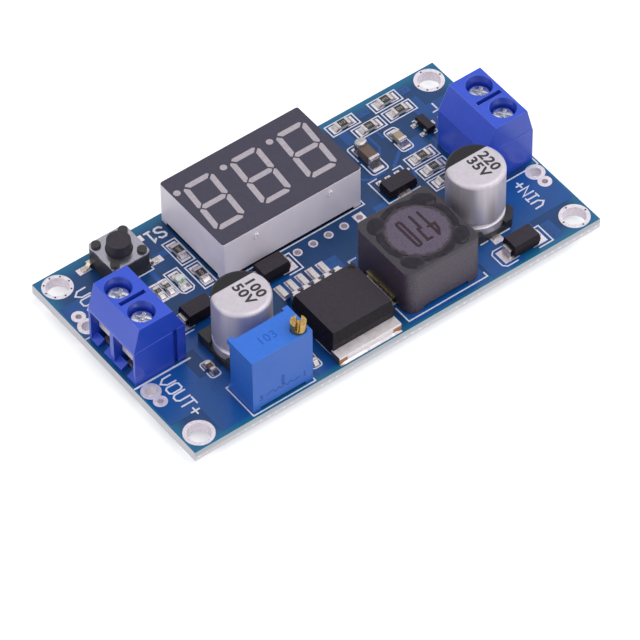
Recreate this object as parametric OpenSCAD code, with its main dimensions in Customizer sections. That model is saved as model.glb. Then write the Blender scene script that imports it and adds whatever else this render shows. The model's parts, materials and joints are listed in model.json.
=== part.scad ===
// Boost converter module: a circuit board with a screw terminal block at each end,
// a three-digit display, a push switch, a multi-turn trimmer and the power parts.
// Origin: middle of the mounting-hole pattern on the board's underside.
// +X runs towards the input block, +Y towards the display, +Z up. Millimetres.

/* [Board] */
// Thickness of the circuit board
board_t = 1.6; // [0.8:0.1:2.4]
// Radius of a mounting hole
hole_r = 1.6; // [1.1:0.05:2.2]
// Width of the tinned rim round a mounting hole
rim_w = 0.53; // [0.2:0.01:1]
// Board left between a mounting rim and the board's edges
rim_edge = 0.27; // [0.1:0.01:1.5]
// Thickness of the tinned copper pads
pad_t = 0.05; // [0.03:0.01:0.12]
// Width of the copper ring round a pin hole
ring_w = 0.4; // [0.2:0.05:0.6]
// Room round a pin in its hole
pin_clear = 0.15; // [0.05:0.01:0.3]
// Length of the pin tails below the board
pin_tail = 1.2; // [0.6:0.1:3]
// Height of a solder cone round a pin tail
solder_h = 0.8; // [0.3:0.05:1.1]
// Radius of the large hole for a soldered wire
wire_hole_r = 0.83; // [0.5:0.01:1.1]
// Radius of the small hole for a soldered wire
small_wire_hole_r = 0.43; // [0.3:0.01:0.6]
// Width of the copper round a wire hole
wire_ring_w = 0.55; // [0.3:0.05:0.7]
// Distance between the two holes of a wire pad
wire_pitch = 2.07; // [1.9:0.01:2.6]
// Holes in the spare header row
header_count = 5; // [2:1:6]
// Radius of a header hole
header_hole_r = 0.45; // [0.35:0.05:0.6]

/* [Terminal blocks] */
// Distance between the two screws of a block
block_pitch = 5.08; // [5:0.01:6]
// Depth of a block from its wire side to its back
block_depth = 8; // [7.8:0.1:10]
// Height from the wire hood's lower edge to the block's top
hood_rise = 4.1; // [3.4:0.1:5]
// Wall of the hood over the wire chamber
hood_t = 0.45; // [0.3:0.05:0.8]
// Run of the sloping hood, from the front to the flat top
hood_run = 1; // [0.5:0.1:1.2]
// Run of the sloping back, from the flat top to the back
back_run = 1.8; // [1:0.1:2]
// Drop of the sloping back
back_drop = 3.7; // [2:0.1:4.5]
// Width of a wire chamber
chamber_w = 4.3; // [4:0.05:4.6]
// Depth of a wire chamber
chamber_depth = 5.75; // [5.5:0.05:6]
// Radius of a screw well
well_r = 1.8; // [1.75:0.05:1.95]
// Distance of a screw's axis from the block's wire side
well_x = 3.1; // [2.9:0.05:3.3]
// Chamfer round a screw well's mouth
well_chamfer = 0.12; // [0.05:0.01:0.2]
// Step in from the lower sides to the hood's sides
side_step = 0.06; // [0.03:0.01:0.15]
// Length of the slot between the wells
slot_l = 4; // [2:0.1:4.5]
// Width of the slot between the wells
slot_w = 0.65; // [0.3:0.05:0.9]
// Depth of the slot between the wells
slot_d = 2.2; // [1:0.1:3]
// Width of a chamber's sill on each side of its drain gap
sill_w = 1.5; // [1:0.05:1.8]
// Height of a sill at its inner end
sill_h = 0.9; // [0.5:0.05:1.3]
// Width of the dovetail that joins blocks side by side
dovetail_w = 0.9; // [0.6:0.05:1]
// Depth of the dovetail
dovetail_d = 0.6; // [0.3:0.05:0.8]
// Distance of the dovetail's axis from the block's back
dovetail_back = 1.6; // [1.3:0.05:1.6]
// Height of a contact
contact_h = 5.4; // [5:0.1:6.2]
// Thickness of a contact's bottom and back
contact_t = 0.7; // [0.4:0.05:0.8]
// Width of a contact's bottom and back
contact_w = 2.3; // [1.6:0.1:3]
// Thickness of a contact's threaded top
nut_t = 1; // [0.7:0.05:1.2]
// Radius of a contact's solder pin
contact_pin_r = 0.5; // [0.4:0.05:0.7]
// Thickness of a clamp leaf
leaf_t = 0.4; // [0.25:0.05:0.5]
// Height of a clamp leaf's turned-up front
leaf_h = 1.4; // [0.8:0.1:1.5]
// Open height under a clamp leaf
wire_gap = 1.1; // [0.8:0.05:1.4]
// Length of a clamp screw's shank
shank_l = 5.1; // [4.6:0.1:5.4]
// Radius of a clamp screw's shank
shank_r = 1.2; // [0.9:0.05:1.3]
// Radius of the plain point below a clamp screw's thread
point_r = 0.95; // [0.7:0.05:1]
// Running room of a shank in its thread
thread_clear = 0.05; // [0.02:0.01:0.1]
// Radius of a clamp screw's head
head_r = 1.6; // [1.4:0.05:1.7]
// Height of a clamp screw's head
head_h = 1.3; // [0.9:0.05:1.6]
// Width of the cross slots in a screw head
cross_w = 0.5; // [0.3:0.05:0.7]

/* [Display] */
// Width of the display
display_w = 22.6; // [21.5:0.1:25]
// Depth of the display
display_d = 14; // [13.4:0.1:16]
// Height of the display over the board
display_h = 7; // [6:0.1:9]
// Side wall of the display's hollow underside
display_wall = 1; // [0.6:0.05:1.3]
// Corner rounding of the display
display_r = 0.35; // [0.1:0.05:0.8]
// Thickness of the dark face film
face_t = 0.12; // [0.05:0.01:0.3]
// Length of a corner foot along both sides
foot_l = 1.3; // [0.8:0.1:2]
// Height of the gap between the feet
foot_gap = 0.45; // [0.2:0.05:0.8]
// Height of the display's circuit over the board
circuit_z = 1.6; // [1.4:0.05:2.2]
// Thickness of the display's circuit
circuit_t = 1; // [0.6:0.1:1.2]
// Distance between digits
digit_pitch = 7.53; // [7:0.01:7.8]
// Distance between a digit's left and right strokes
digit_w = 4.06; // [3.6:0.02:4.2]
// Distance between neighbouring cross strokes of a digit
digit_rise = 4.21; // [3.6:0.01:4.5]
// Width of a segment
segment_w = 0.83; // [0.5:0.01:1]
// Gap from a segment's tip to its corner
segment_gap = 0.08; // [0.04:0.01:0.2]
// Lean of the digits in degrees
lean = 5.5; // [0:0.5:10]
// Radius of a decimal dot
dot_r = 0.5; // [0.3:0.05:0.55]
// Gap between a decimal dot and its digit's stroke
dot_gap = 0.22; // [0.1:0.01:0.3]
// Side of a display pin
display_pin_w = 0.5; // [0.4:0.05:0.6]
// Distance between neighbouring pins
pin_pitch = 2.54; // [2.3:0.01:2.6]
// Distance of a pin row from the display's side
pin_row_in = 1.92; // [1.7:0.02:2.4]

/* [Push switch] */
// Side of the switch body
switch_w = 6; // [5.6:0.1:6.6]
// Height of the moulded base
switch_h = 3.1; // [2.8:0.1:3.6]
// Thickness of the steel cover
cover_t = 0.3; // [0.2:0.05:0.4]
// Radius of the plunger at the cover
plunger_r = 1.75; // [1.3:0.05:1.9]
// Height of the plunger over the cover
plunger_h = 1.6; // [0.8:0.1:6]
// Running room of the plunger in the cover
plunger_clear = 0.08; // [0.04:0.01:0.1]
// Rounding of the switch's upright edges
switch_round = 0.6; // [0.2:0.05:0.8]
// Radius of a staked post
post_r = 0.65; // [0.3:0.05:0.7]
// Height of a post's head over the cover
post_h = 0.35; // [0.2:0.05:0.5]
// Rise of the snap dome
dome_rise = 0.3; // [0.2:0.05:0.4]
// Distance between the two leads on one side
switch_lead_pitch = 4.4; // [4:0.1:4.6]
// Reach of a switch lead from the body
switch_lead_l = 1.6; // [1.2:0.1:2]

/* [Capacitors] */
// Radius of a capacitor can
can_r = 4; // [3.6:0.05:4.4]
// Height of a capacitor over the board
can_h = 10.2; // [8:0.1:12.5]
// Rounding of a can's top edge
can_round = 0.6; // [0.3:0.05:1]
// Board left between a can and the sides of its base
base_edge = 0.15; // [0.1:0.05:0.4]
// Thickness of a base's floor
base_floor = 0.9; // [0.6:0.05:1.3]
// Height of a base's corner posts
base_post_h = 1.6; // [1.2:0.1:2.2]
// Cut of the base corners beside the positive lead
base_cut = 1.3; // [0.8:0.1:1.8]
// Height of the crimp's middle over the board
crimp_z = 2.6; // [2.2:0.1:4]
// Depth of the crimp
crimp_d = 0.3; // [0.15:0.05:0.5]
// Width of a capacitor lead
can_lead_w = 0.9; // [0.5:0.05:1.2]
// Reach of a capacitor lead past the base
can_lead_l = 0.5; // [0.2:0.05:0.7]

/* [Inductor] */
// Side of the square shield
shield_w = 12; // [11:0.1:13]
// Height of the shield
shield_h = 7.5; // [6:0.1:9]
// Rounding of the shield's upright edges
shield_r = 1.5; // [0.8:0.1:2]
// Thinnest wall of the shield, in the middle of each side
shield_wall = 0.5; // [0.4:0.05:0.8]
// Chamfer round the shield's top
shield_chamfer = 0.25; // [0.1:0.05:0.4]
// Radius of the glue pockets at the opening's corners
pocket_r = 0.8; // [0.5:0.05:0.9]
// Width of the glue ring between the shield and the drum core
glue_w = 0.9; // [0.6:0.05:1.2]
// Radius of the drum core's post
drum_post_r = 2.3; // [1.8:0.1:2.6]
// Thickness of the drum core's discs
drum_t = 1.4; // [1:0.1:1.6]
// Diameter of the winding wire
wire_d = 0.7; // [0.5:0.05:0.8]
// Height of the gaps between the shield's feet
shield_gap = 0.6; // [0.5:0.05:0.9]
// Width of a shield foot
shield_foot = 2.4; // [2:0.1:2.8]
// Height of a terminal's upright strip
terminal_h = 1.3; // [0.8:0.1:1.6]
// Width of a terminal
terminal_w = 5.8; // [4.5:0.1:6.4]

/* [Regulator] */
// Width of the body and tab
regulator_w = 10; // [9.6:0.1:10.6]
// Length of the body
regulator_l = 8.9; // [8.4:0.1:9.4]
// Height of the body
regulator_h = 4.45; // [4:0.05:5]
// Radius of the dimple that marks the first lead
dimple_r = 0.45; // [0.3:0.05:0.8]
// Depth of the dimple
dimple_d = 0.15; // [0.05:0.05:0.3]
// Distance of the dimple's middle from the body's sides
dimple_in = 1.1; // [1:0.1:2]
// Length of the tab in front of the body
tab_l = 1.4; // [1:0.1:2]
// Thickness of the tab
tab_t = 1.27; // [1:0.01:1.5]
// Distance between leads
lead_pitch = 1.7; // [1.5:0.01:1.8]
// Number of leads
lead_count = 5; // [3:2:5]
// Width of a lead
lead_w = 0.8; // [0.6:0.05:0.95]
// Width of a lead's shoulder at the body
shoulder_w = 1.15; // [1:0.05:1.3]
// Thickness of a lead
lead_t = 0.45; // [0.35:0.05:0.55]
// Reach of a lead from the body
lead_l = 5.2; // [4.8:0.1:5.8]
// Length of a lead's foot
lead_foot = 2.2; // [1.6:0.1:2.6]

/* [Trimmer] */
// Width of the trimmer
trimmer_w = 9.53; // [9.2:0.01:10]
// Depth of the trimmer
trimmer_d = 4.83; // [4.7:0.01:5.2]
// Height of the trimmer over the board
trimmer_h = 9.5; // [9.2:0.1:10.5]
// Wall of the trimmer's housing
trimmer_wall = 0.5; // [0.4:0.01:0.55]
// Width of the nibs at the corners of the back
nib_w = 0.88; // [0.5:0.01:1.2]
// Depth of the nibs
nib_d = 0.5; // [0.2:0.05:0.6]
// Height of the nibs
nib_h = 0.8; // [0.4:0.1:1.5]
// Distance of the screw's axis from the end and the front
trimmer_screw_in = 1.27; // [1.2:0.01:1.4]
// Radius of the screw's head
trimmer_head_r = 1.08; // [0.9:0.01:1.1]
// Height of the screw's head over the housing
trimmer_head_h = 1.5; // [0.8:0.1:2]
// Width of the screw's slot
trimmer_slot_w = 0.6; // [0.4:0.05:0.7]
// Depth of the screw's slot
trimmer_slot_d = 1.1; // [0.5:0.1:1.2]
// Radius of the worm
worm_r = 0.55; // [0.4:0.05:0.6]
// Teeth on the worm wheel
wheel_teeth = 30; // [20:2:40]
// Radius of the worm wheel
wheel_r = 2.5; // [2.2:0.05:2.6]
// Room between the worm and the wheel's teeth
mesh_clear = 0.06; // [0.04:0.01:0.1]
// Thickness of the worm wheel
wheel_t = 0.9; // [0.7:0.05:1]
// Radius of the wheel's pivot
pivot_r = 0.6; // [0.4:0.05:0.8]
// Running room of the wheel on its pivot
pivot_clear = 0.05; // [0.02:0.01:0.08]
// Thickness of the resistance element
element_t = 0.6; // [0.4:0.05:0.8]
// Radius of a trimmer pin
trimmer_pin_r = 0.25; // [0.2:0.05:0.35]
// Thickness of the potting
potting_t = 0.7; // [0.4:0.05:0.9]

/* [Small parts] */
// Length of a large chip
chip_l = 2; // [1.8:0.05:2.3]
// Width of a large chip
chip_w = 1.25; // [1:0.05:1.4]
// Height of a chip resistor
chip_h = 0.55; // [0.4:0.05:0.8]
// Length of a small chip
small_chip_l = 1.6; // [1.4:0.05:1.8]
// Width of a small chip
small_chip_w = 0.8; // [0.6:0.05:0.95]
// Length of the end caps
cap_l = 0.4; // [0.25:0.05:0.5]
// Thickness of the end caps
cap_t = 0.05; // [0.03:0.01:0.08]
// Height of a ceramic capacitor
ceramic_h = 0.95; // [0.7:0.05:1.3]
// Length of the large ceramic capacitor
big_ceramic_l = 3.2; // [2.8:0.1:3.6]
// Width of the large ceramic capacitor
big_ceramic_w = 1.6; // [1.4:0.05:1.9]
// Height of the indicator's clear body
indicator_h = 0.8; // [0.6:0.05:1.2]
// Length of a diode body
diode_l = 4.3; // [4:0.1:4.7]
// Width of a diode body
diode_w = 2.6; // [2.3:0.1:2.9]
// Height of a diode
diode_h = 2.2; // [1.8:0.1:2.6]
// Width of a diode lead
diode_lead_w = 1.5; // [1.2:0.1:1.8]
// Thickness of a diode lead
diode_lead_t = 0.2; // [0.12:0.01:0.3]
// Width of the linear regulator's body
ldo_w = 4.5; // [4.2:0.1:5]
// Depth of the linear regulator's body
ldo_d = 2.5; // [2.3:0.1:2.8]
// Height of the linear regulator
ldo_h = 1.5; // [1.3:0.1:1.8]
// Length of the transistor's body
transistor_l = 2.9; // [2.7:0.05:3.2]
// Width of the transistor's body
transistor_w = 1.3; // [1.2:0.05:1.5]
// Height of the transistor
transistor_h = 1.05; // [0.9:0.05:1.2]
// Length of the controller chip's body
controller_l = 6.5; // [6.2:0.1:7]
// Width of the controller chip's body
controller_w = 4.4; // [4:0.1:4.6]
// Height of the controller chip
controller_h = 1.1; // [0.9:0.05:1.2]

/* [Layout] */
// Free board outside a terminal block
block_setback = 0.6; // [0.2:0.1:3]
// Blocks' middle line from the board's middle line
block_y = 0.7; // [-1:0.05:1]
// Gap from the output block to its capacitor
output_capacitor_gap = 2.9; // [2.4:0.1:5]
// Gap from the output capacitor to the regulator
regulator_gap = 3.6; // [3.2:0.1:6]
// Gap from the regulator to the inductor
inductor_gap = 2.13; // [1.5:0.01:4]
// Gap from the inductor to the input capacitor
input_capacitor_gap = 1.32; // [0.9:0.01:4]
// Gap from the input capacitor to the input block
input_block_gap = 0.25; // [0.2:0.05:3]
// Gap from the output block to the display
display_gap = 11.5; // [11:0.1:14]
// Gap from the display to the linear regulator
ldo_gap = 3.35; // [2.4:0.05:5]
// Gap from the linear regulator to the resistor column
column_gap = 2.65; // [2.2:0.05:5]
// Gap from the resistor column to the input block
column_block_gap = 2.2; // [1.6:0.1:5]
// Free board behind the display
display_margin = 0.85; // [0.3:0.05:4]
// Free board in front of the regulator's tab
regulator_margin = 0.5; // [0.3:0.05:4]
// Space for the header row, from the regulator's lead tips to the display
header_zone = 5.15; // [4.6:0.05:8]
// Free board in front of the inductor
inductor_margin = 1.55; // [0.6:0.05:3]
// Free board in front of the trimmer
trimmer_margin = 0.75; // [0.3:0.05:2]
// Gap from the trimmer to the output capacitor
trimmer_gap = 1.2; // [0.8:0.05:2]
// Gap from the output block to the trimmer
trimmer_x_gap = 1.2; // [0.8:0.05:3]
// Gap from the output capacitor to the diode behind it
diode_gap = 2.1; // [1.6:0.1:3]
// Free board in front of the input diode
input_diode_margin = 1.1; // [0.6:0.1:2]
// Gap from the input diode to the input capacitor
input_diode_gap = 2.25; // [1.8:0.05:3]
// Distance between the rows of chip resistors
chip_row = 2.55; // [2.3:0.05:2.8]
// Free board behind the last row of chip resistors
chip_margin = 1.3; // [0.8:0.05:2]
// Free board behind the push switch
switch_margin = 1.25; // [0.8:0.05:2]
// Distance from the output block to the push switch's middle
switch_run = 2.47; // [2:0.05:3]
// Distance from the display to the middle of the chip resistors beside it
side_chip_run = 1.57; // [1.3:0.05:1.8]
// Distance between the two chip resistors beside the display
side_chip_pitch = 5.07; // [4.6:0.05:5.3]
// Distance from the display to the indicator's middle
indicator_run = 4.44; // [4:0.05:4.6]
// Gap from the output diode to the row of the indicator and small chips
small_row_gap = 4.95; // [4.6:0.05:5.3]
// Distance from the output block to the first small chip resistor's middle
small_chip_run = 3.6; // [3:0.05:4]
// Distance between the two small chip resistors
small_chip_pitch = 1.45; // [1.3:0.05:1.7]
// Distance from the output block to the output diode's middle
output_diode_run = 5.35; // [5:0.05:6]
// Distance from the output block to the small ceramic capacitor's middle
small_ceramic_run = 1.27; // [0.9:0.01:1.6]
// Gap from the trimmer to the spare chip
spare_chip_gap = 1.37; // [1:0.01:2]
// Gap from the spare chip to the regulator
spare_regulator_gap = 1.9; // [1.5:0.1:3]
// Distance from the regulator's middle to the diode in front of the display
middle_diode_run = 2.5; // [2:0.1:3]
// Gap from the regulator's lead tips to the diode in front of the display
middle_diode_gap = 1.15; // [0.9:0.05:1.3]
// Distance from the input capacitor's middle to the input diode's
input_diode_run = 1.7; // [1:0.1:2]
// Gap from the input capacitor to the first row of chip resistors
column_front_gap = 3.1; // [2.8:0.05:3.6]
// Distance from the first row of chip resistors to the ceramic capacitors
ceramic_row = 9.2; // [8.8:0.05:9.6]
// Step back of the middle-sized ceramic capacitor in that row
ceramic_step = 0.26; // [0:0.02:0.4]
// Distance from the resistor column to the middle-sized ceramic capacitor
ceramic_run = 0.52; // [0.2:0.01:0.8]
// Distance from the resistor column to the transistor's middle
transistor_run = 3.75; // [3.6:0.05:4.2]
// Distance from the linear regulator's middle to the chip resistors behind it
back_chip_run = 1; // [0.8:0.05:1.2]
// Shift between the two back rows of chip resistors
back_chip_step = 2.55; // [2.2:0.05:2.7]
// Distance from the resistor column to the chip resistors behind it
back_column_run = 2.25; // [2.1:0.05:2.6]
// Distance from the display to the header row in front of it
header_in = 1.72; // [1.5:0.02:1.9]
// Distance from the regulator's middle to the header's first hole
header_run = 2.45; // [2.2:0.05:3]
// Distance of the wire pads from the board's ends
wire_pad_in = 1.6; // [1.5:0.05:2]
// Gap from a block to the middle of the wire pad beside it
wire_pad_gap = 1.9; // [1.6:0.05:2.2]

/* [Hidden] */
$fn = 48;

// Overshoot of a cut past the face that it opens
cut = 0.5;
// Height on which every part stands: the board with its copper
deck = board_t + pad_t;
// Length of a lead inside its moulded body
lead_in = 0.3;
// Drop from the deck to the pin tips
pin_drop = deck + pin_tail;

// Sizes that follow from the driving ones
block_w = 2 * block_pitch;
chamber_h = contact_h + 0.15;
hood_z = chamber_h + hood_t;
block_h = hood_z + hood_rise;
can_base_w = 2 * (can_r + base_edge);
regulator_total = tab_l + regulator_l + lead_l;
hole_inset = hole_r + rim_w + rim_edge;
shield_bore_r = shield_w / 2 - shield_wall;
drum_r = shield_bore_r - glue_w;
pin_rows = display_d - 2 * pin_row_in;

// Places along the board, from its output end
output_back = block_setback + block_depth;
output_capacitor_u = output_back + output_capacitor_gap + can_base_w / 2;
trimmer_u = output_back + trimmer_x_gap + trimmer_w / 2;
spare_chip_u = trimmer_u + trimmer_w / 2 + spare_chip_gap + small_chip_w / 2;
regulator_u = max(output_capacitor_u + can_base_w / 2 + regulator_gap,
                  spare_chip_u + small_chip_w / 2 + spare_regulator_gap) + regulator_w / 2;
inductor_u = regulator_u + regulator_w / 2 + inductor_gap + shield_w / 2;
display_u = output_back + display_gap + display_w / 2;
ldo_u = display_u + display_w / 2 + ldo_gap + ldo_w / 2;
input_back = max(inductor_u + shield_w / 2 + input_capacitor_gap + can_base_w + input_block_gap,
                 ldo_u + ldo_w / 2 + column_gap + chip_l + column_block_gap);
input_capacitor_u = input_back - input_block_gap - can_base_w / 2;
column_u = input_back - column_block_gap - chip_l / 2;
board_l = input_back + block_depth + block_setback;

// Places across the board, from its front edge
regulator_v = regulator_margin + tab_l + regulator_l / 2;
display_front = regulator_margin + regulator_total + header_zone;
display_v = display_front + display_d / 2;
board_w = display_front + display_d + display_margin;
inductor_v = inductor_margin + shield_w / 2;
trimmer_v = trimmer_margin + trimmer_d / 2;
output_capacitor_v = trimmer_margin + trimmer_d + trimmer_gap + can_base_w / 2;
output_diode_v = output_capacitor_v + can_base_w / 2 + diode_gap + diode_w / 2;
input_diode_v = input_diode_margin + diode_w / 2;
input_capacitor_v = input_diode_margin + diode_w + input_diode_gap + can_base_w / 2;
column_v = input_capacitor_v + can_base_w / 2 + column_front_gap + chip_w / 2;
back_row_v = board_w - chip_margin - chip_w / 2;
switch_v = board_w - switch_margin - switch_w / 2;
small_row_v = output_diode_v + diode_w / 2 + small_row_gap;
side_chip_v = small_row_v - 0.77;
header_v = display_front - header_in;

// A place on the board as coordinates from its middle
function spot(u, v) = [u - board_l / 2, v - board_w / 2];

output_capacitor_at = spot(output_capacitor_u, output_capacitor_v);
input_capacitor_at = spot(input_capacitor_u, input_capacitor_v);
regulator_at = spot(regulator_u, regulator_v);
inductor_at = spot(inductor_u, inductor_v);
display_at = spot(display_u, display_v);
switch_at = spot(output_back + switch_run, switch_v);
trimmer_at = spot(trimmer_u, trimmer_v);
ldo_at = spot(ldo_u, column_v + chip_row);
transistor_at = spot(column_u + transistor_run, column_v + ceramic_row);
indicator_at = spot(display_u - display_w / 2 - indicator_run, small_row_v);

// Chip resistors as place and turn, large ones and small ones
large_resistors = [
    [spot(display_u - display_w / 2 - side_chip_run, side_chip_v + side_chip_pitch), 90],
    [spot(display_u - display_w / 2 - side_chip_run, side_chip_v), 90],
    [spot(ldo_u + back_chip_run, back_row_v), 0],
    [spot(column_u + back_column_run, back_row_v), 0],
    [spot(ldo_u + back_chip_run + back_chip_step, back_row_v - chip_row), 0],
    [spot(column_u + back_column_run + 0.5, back_row_v - chip_row), 0],
    [spot(column_u, column_v), 0],
    [spot(column_u, column_v + chip_row), 0],
    [spot(column_u, column_v + 2 * chip_row), 0]
];
small_resistors = [
    [spot(output_back + small_chip_run, small_row_v), 90],
    [spot(output_back + small_chip_run + small_chip_pitch, small_row_v), 90]
];
// Ceramic capacitors as place, length, width and height, all turned across the board
ceramics = [
    [spot(output_back + small_ceramic_run, output_capacitor_v - 0.8), small_chip_l, small_chip_w, small_chip_w],
    [spot(spare_chip_u, trimmer_v + 0.3), small_chip_l, small_chip_w, small_chip_w],
    [spot(column_u - ceramic_run, column_v + ceramic_row + ceramic_step), chip_l, chip_w, ceramic_h],
    [spot(ldo_u, column_v + ceramic_row), big_ceramic_l, big_ceramic_w, big_ceramic_w]
];
// Moulded diodes, all along the board
diodes = [
    spot(output_back + output_diode_run, output_diode_v),
    spot(regulator_u - middle_diode_run, regulator_margin + regulator_total + middle_diode_gap + diode_w / 2),
    spot(input_capacitor_u + input_diode_run, input_diode_v)
];

// Pins that pass through the board, as places
contact_pin_x = well_x + 0.5;
block_pins = [for (side = [-1, 1], row = [-0.5, 0.5])
    [side * (board_l / 2 - block_setback - contact_pin_x), block_y + row * block_pitch]];
display_columns = 6;
display_pin_places = [for (row = [-0.5, 0.5], i = [0 : display_columns - 1])
    display_at + [(i - (display_columns - 1) / 2) * pin_pitch, row * pin_rows]];
trimmer_pin_y = trimmer_d / 2 - trimmer_wall - element_t / 2;
trimmer_pin_places = [for (i = [-1 : 1]) trimmer_at + [i * pin_pitch, trimmer_pin_y]];
header_places = [for (i = [0 : header_count - 1])
    spot(regulator_u + header_run + i * pin_pitch, header_v)];
mount_places = [for (x = [-1, 1], y = [-1, 1])
    [x * (board_l / 2 - hole_inset), y * (board_w / 2 - hole_inset)]];
// Pads for wires soldered in place of the terminal blocks: large hole, small hole
wire_pad_x = board_l / 2 - wire_pad_in;
wire_places = [for (end = [-1, 1], side = [-1, 1])
    [[end * wire_pad_x, block_y + side * (block_w / 2 + wire_pad_gap)],
     [end * wire_pad_x, block_y + side * (block_w / 2 + wire_pad_gap + wire_pitch)]]];

contact_hole_r = contact_pin_r + pin_clear;
display_hole_r = display_pin_w / sqrt(2) + pin_clear;
trimmer_hole_r = trimmer_pin_r + pin_clear;

// Shared shapes

module at(place, z = deck, turn = 0) translate([place.x, place.y, z]) rotate(turn) children();

// An upright profile, drawn as X and Z, made w wide along Y
module across(w) rotate([90, 0, 0]) linear_extrude(w, center = true) children();

module box(w, d, h) translate([-w / 2, -d / 2, 0]) cube([w, d, h]);

module rounded(w, d, r) {
    square([w - 2 * r, d], center = true);
    square([w, d - 2 * r], center = true);
    for (x = [-1, 1], y = [-1, 1]) translate([x * (w / 2 - r), y * (d / 2 - r)]) circle(r);
}

// A bent strip along a middle line, round at its bends
module strip(points, t) {
    for (i = [0 : len(points) - 2]) {
        run = points[i + 1] - points[i];
        translate(points[i]) rotate(atan2(run.y, run.x)) translate([0, -t / 2]) square([norm(run), t]);
    }
    for (i = [1 : len(points) - 2]) translate(points[i]) circle(d = t);
}

// A moulded package: sides lean in above and below the parting line
module moulded(w, d, h, waist, draft) {
    intersection() {
        across(d + 1) moulded_side(w, h, waist, draft);
        rotate(90) across(w + 1) moulded_side(d, h, waist, draft);
    }
}

module moulded_side(w, h, waist, draft)
    polygon([[-w / 2 + draft, 0], [w / 2 - draft, 0], [w / 2, waist],
             [w / 2 - draft, h], [-w / 2 + draft, h], [-w / 2, waist]]);

// Gull-wing lead: starts inside a body at height rise, ends in a foot on the deck
module gull(reach, rise, foot, t, w, inside = 0)
    across(w) strip([[-inside, rise], [(reach - foot) / 2, rise], [reach - foot, t / 2], [reach, t / 2]], t);

// Board and copper

module board() {
    color("#123f78") linear_extrude(board_t) difference() {
        square([board_l, board_w], center = true);
        for (p = mount_places) translate(p) circle(hole_r);
        for (p = block_pins) translate(p) circle(contact_hole_r);
        for (p = display_pin_places) translate(p) circle(display_hole_r);
        for (p = trimmer_pin_places) translate(p) circle(trimmer_hole_r);
        for (p = header_places) translate(p) circle(header_hole_r);
        for (p = wire_places) wire_holes(p);
    }
}

module wire_holes(p) {
    translate(p[0]) circle(wire_hole_r);
    translate(p[1]) circle(small_wire_hole_r);
}

module ring(p, r, w) translate(p) difference() {
    circle(r + w);
    circle(r);
}

module copper_rings() {
    for (p = mount_places) ring(p, hole_r, rim_w);
    for (p = block_pins) ring(p, contact_hole_r, ring_w);
    for (p = display_pin_places) ring(p, display_hole_r, ring_w / 2);
    for (p = trimmer_pin_places) ring(p, trimmer_hole_r, ring_w);
    for (p = header_places) ring(p, header_hole_r, ring_w / 2);
    for (p = wire_places) difference() {
        union() {
            translate(p[0]) circle(wire_hole_r + wire_ring_w);
            translate(p[1]) circle(small_wire_hole_r + wire_ring_w);
        }
        wire_holes(p);
    }
}

// Two like pads, each l long, out from a part's middle along X
module pad_pair(inner, l, w)
    for (s = [-1, 1]) translate([s * (inner + l / 2), 0]) square([l, w], center = true);

module chip_pads(l, w) pad_pair(l / 2 - cap_l - 0.1, cap_l + 0.55, w + 0.1);

module part_pads() {
    for (r = large_resistors) translate(r[0]) rotate(r[1]) chip_pads(chip_l, chip_w);
    for (r = small_resistors) translate(r[0]) rotate(r[1]) chip_pads(small_chip_l, small_chip_w);
    for (c = ceramics) translate(c[0]) rotate(90) chip_pads(c[1], c[2]);
    translate(indicator_at) rotate(90) chip_pads(chip_l, chip_w);
    for (d = diodes) translate(d) pad_pair(diode_l / 2 - 1, 2.35, diode_lead_w + 0.8);
    for (c = [output_capacitor_at, input_capacitor_at])
        translate(c) rotate(90) pad_pair(can_r - 2.4, 3.8, can_lead_w + 0.7);
    translate(inductor_at) pad_pair(shield_w / 2 - 2.2, 2.9, terminal_w + 0.4);
    translate(regulator_at) {
        translate([0, -regulator_l / 2 + 2 - tab_l / 2]) square([regulator_w - 0.4, 4 + tab_l], center = true);
        for (x = lead_xs) translate([x, regulator_l / 2 + lead_l - lead_foot / 2 + 0.1])
            square([lead_w + 0.3, lead_foot + 0.4], center = true);
    }
    translate(switch_at) for (y = [-0.5, 0.5]) translate([0, y * switch_lead_pitch])
        pad_pair(switch_w / 2 + 0.3, switch_lead_l + 0.3, switch_lead_w + 0.4);
    translate(ldo_at) {
        for (i = [-1 : 1]) translate([i * ldo_pitch, ldo_d / 2 + 0.6]) square([0.8, 1.4], center = true);
        translate([0, -ldo_d / 2 - 0.1]) square([ldo_tab_w + 0.3, 1.9], center = true);
    }
    translate(transistor_at) for (p = transistor_leads_at)
        translate([p[0] * (transistor_w / 2 + 0.4), p[1]]) square([0.9, 0.7], center = true);
    translate(display_at) for (s = [-1, 1], x = controller_xs)
        translate([x, s * (controller_w / 2 + controller_lead_l - 0.3)]) square([0.35, 1], center = true);
}

module solder_pads() {
    color("gainsboro") {
        translate([0, 0, board_t]) linear_extrude(pad_t) {
            copper_rings();
            part_pads();
        }
        translate([0, 0, -pad_t]) linear_extrude(pad_t) copper_rings();
    }
}

module solder_cone(p, hole, pin)
    translate([p.x, p.y, -pad_t - solder_h]) cylinder(h = solder_h, r1 = pin + 0.12, r2 = hole + 0.25);

module solder_joints() {
    color("silver") {
        difference() {
            for (p = block_pins) solder_cone(p, contact_hole_r, contact_pin_r);
            for (p = block_pins) at(p, -pin_tail - cut) cylinder(h = pin_tail + cut, r = contact_pin_r);
        }
        difference() {
            for (p = trimmer_pin_places) solder_cone(p, trimmer_hole_r, trimmer_pin_r);
            for (p = trimmer_pin_places) at(p, -pin_tail - cut) cylinder(h = pin_tail + cut, r = trimmer_pin_r);
        }
        difference() {
            for (p = display_pin_places) solder_cone(p, display_hole_r - 0.1, display_pin_w / sqrt(2));
            for (p = display_pin_places) at(p, -pin_tail - cut)
                box(display_pin_w, display_pin_w, pin_tail + cut);
        }
    }
}

// Screw terminal blocks: front at x = 0, wires enter along +X

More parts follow.
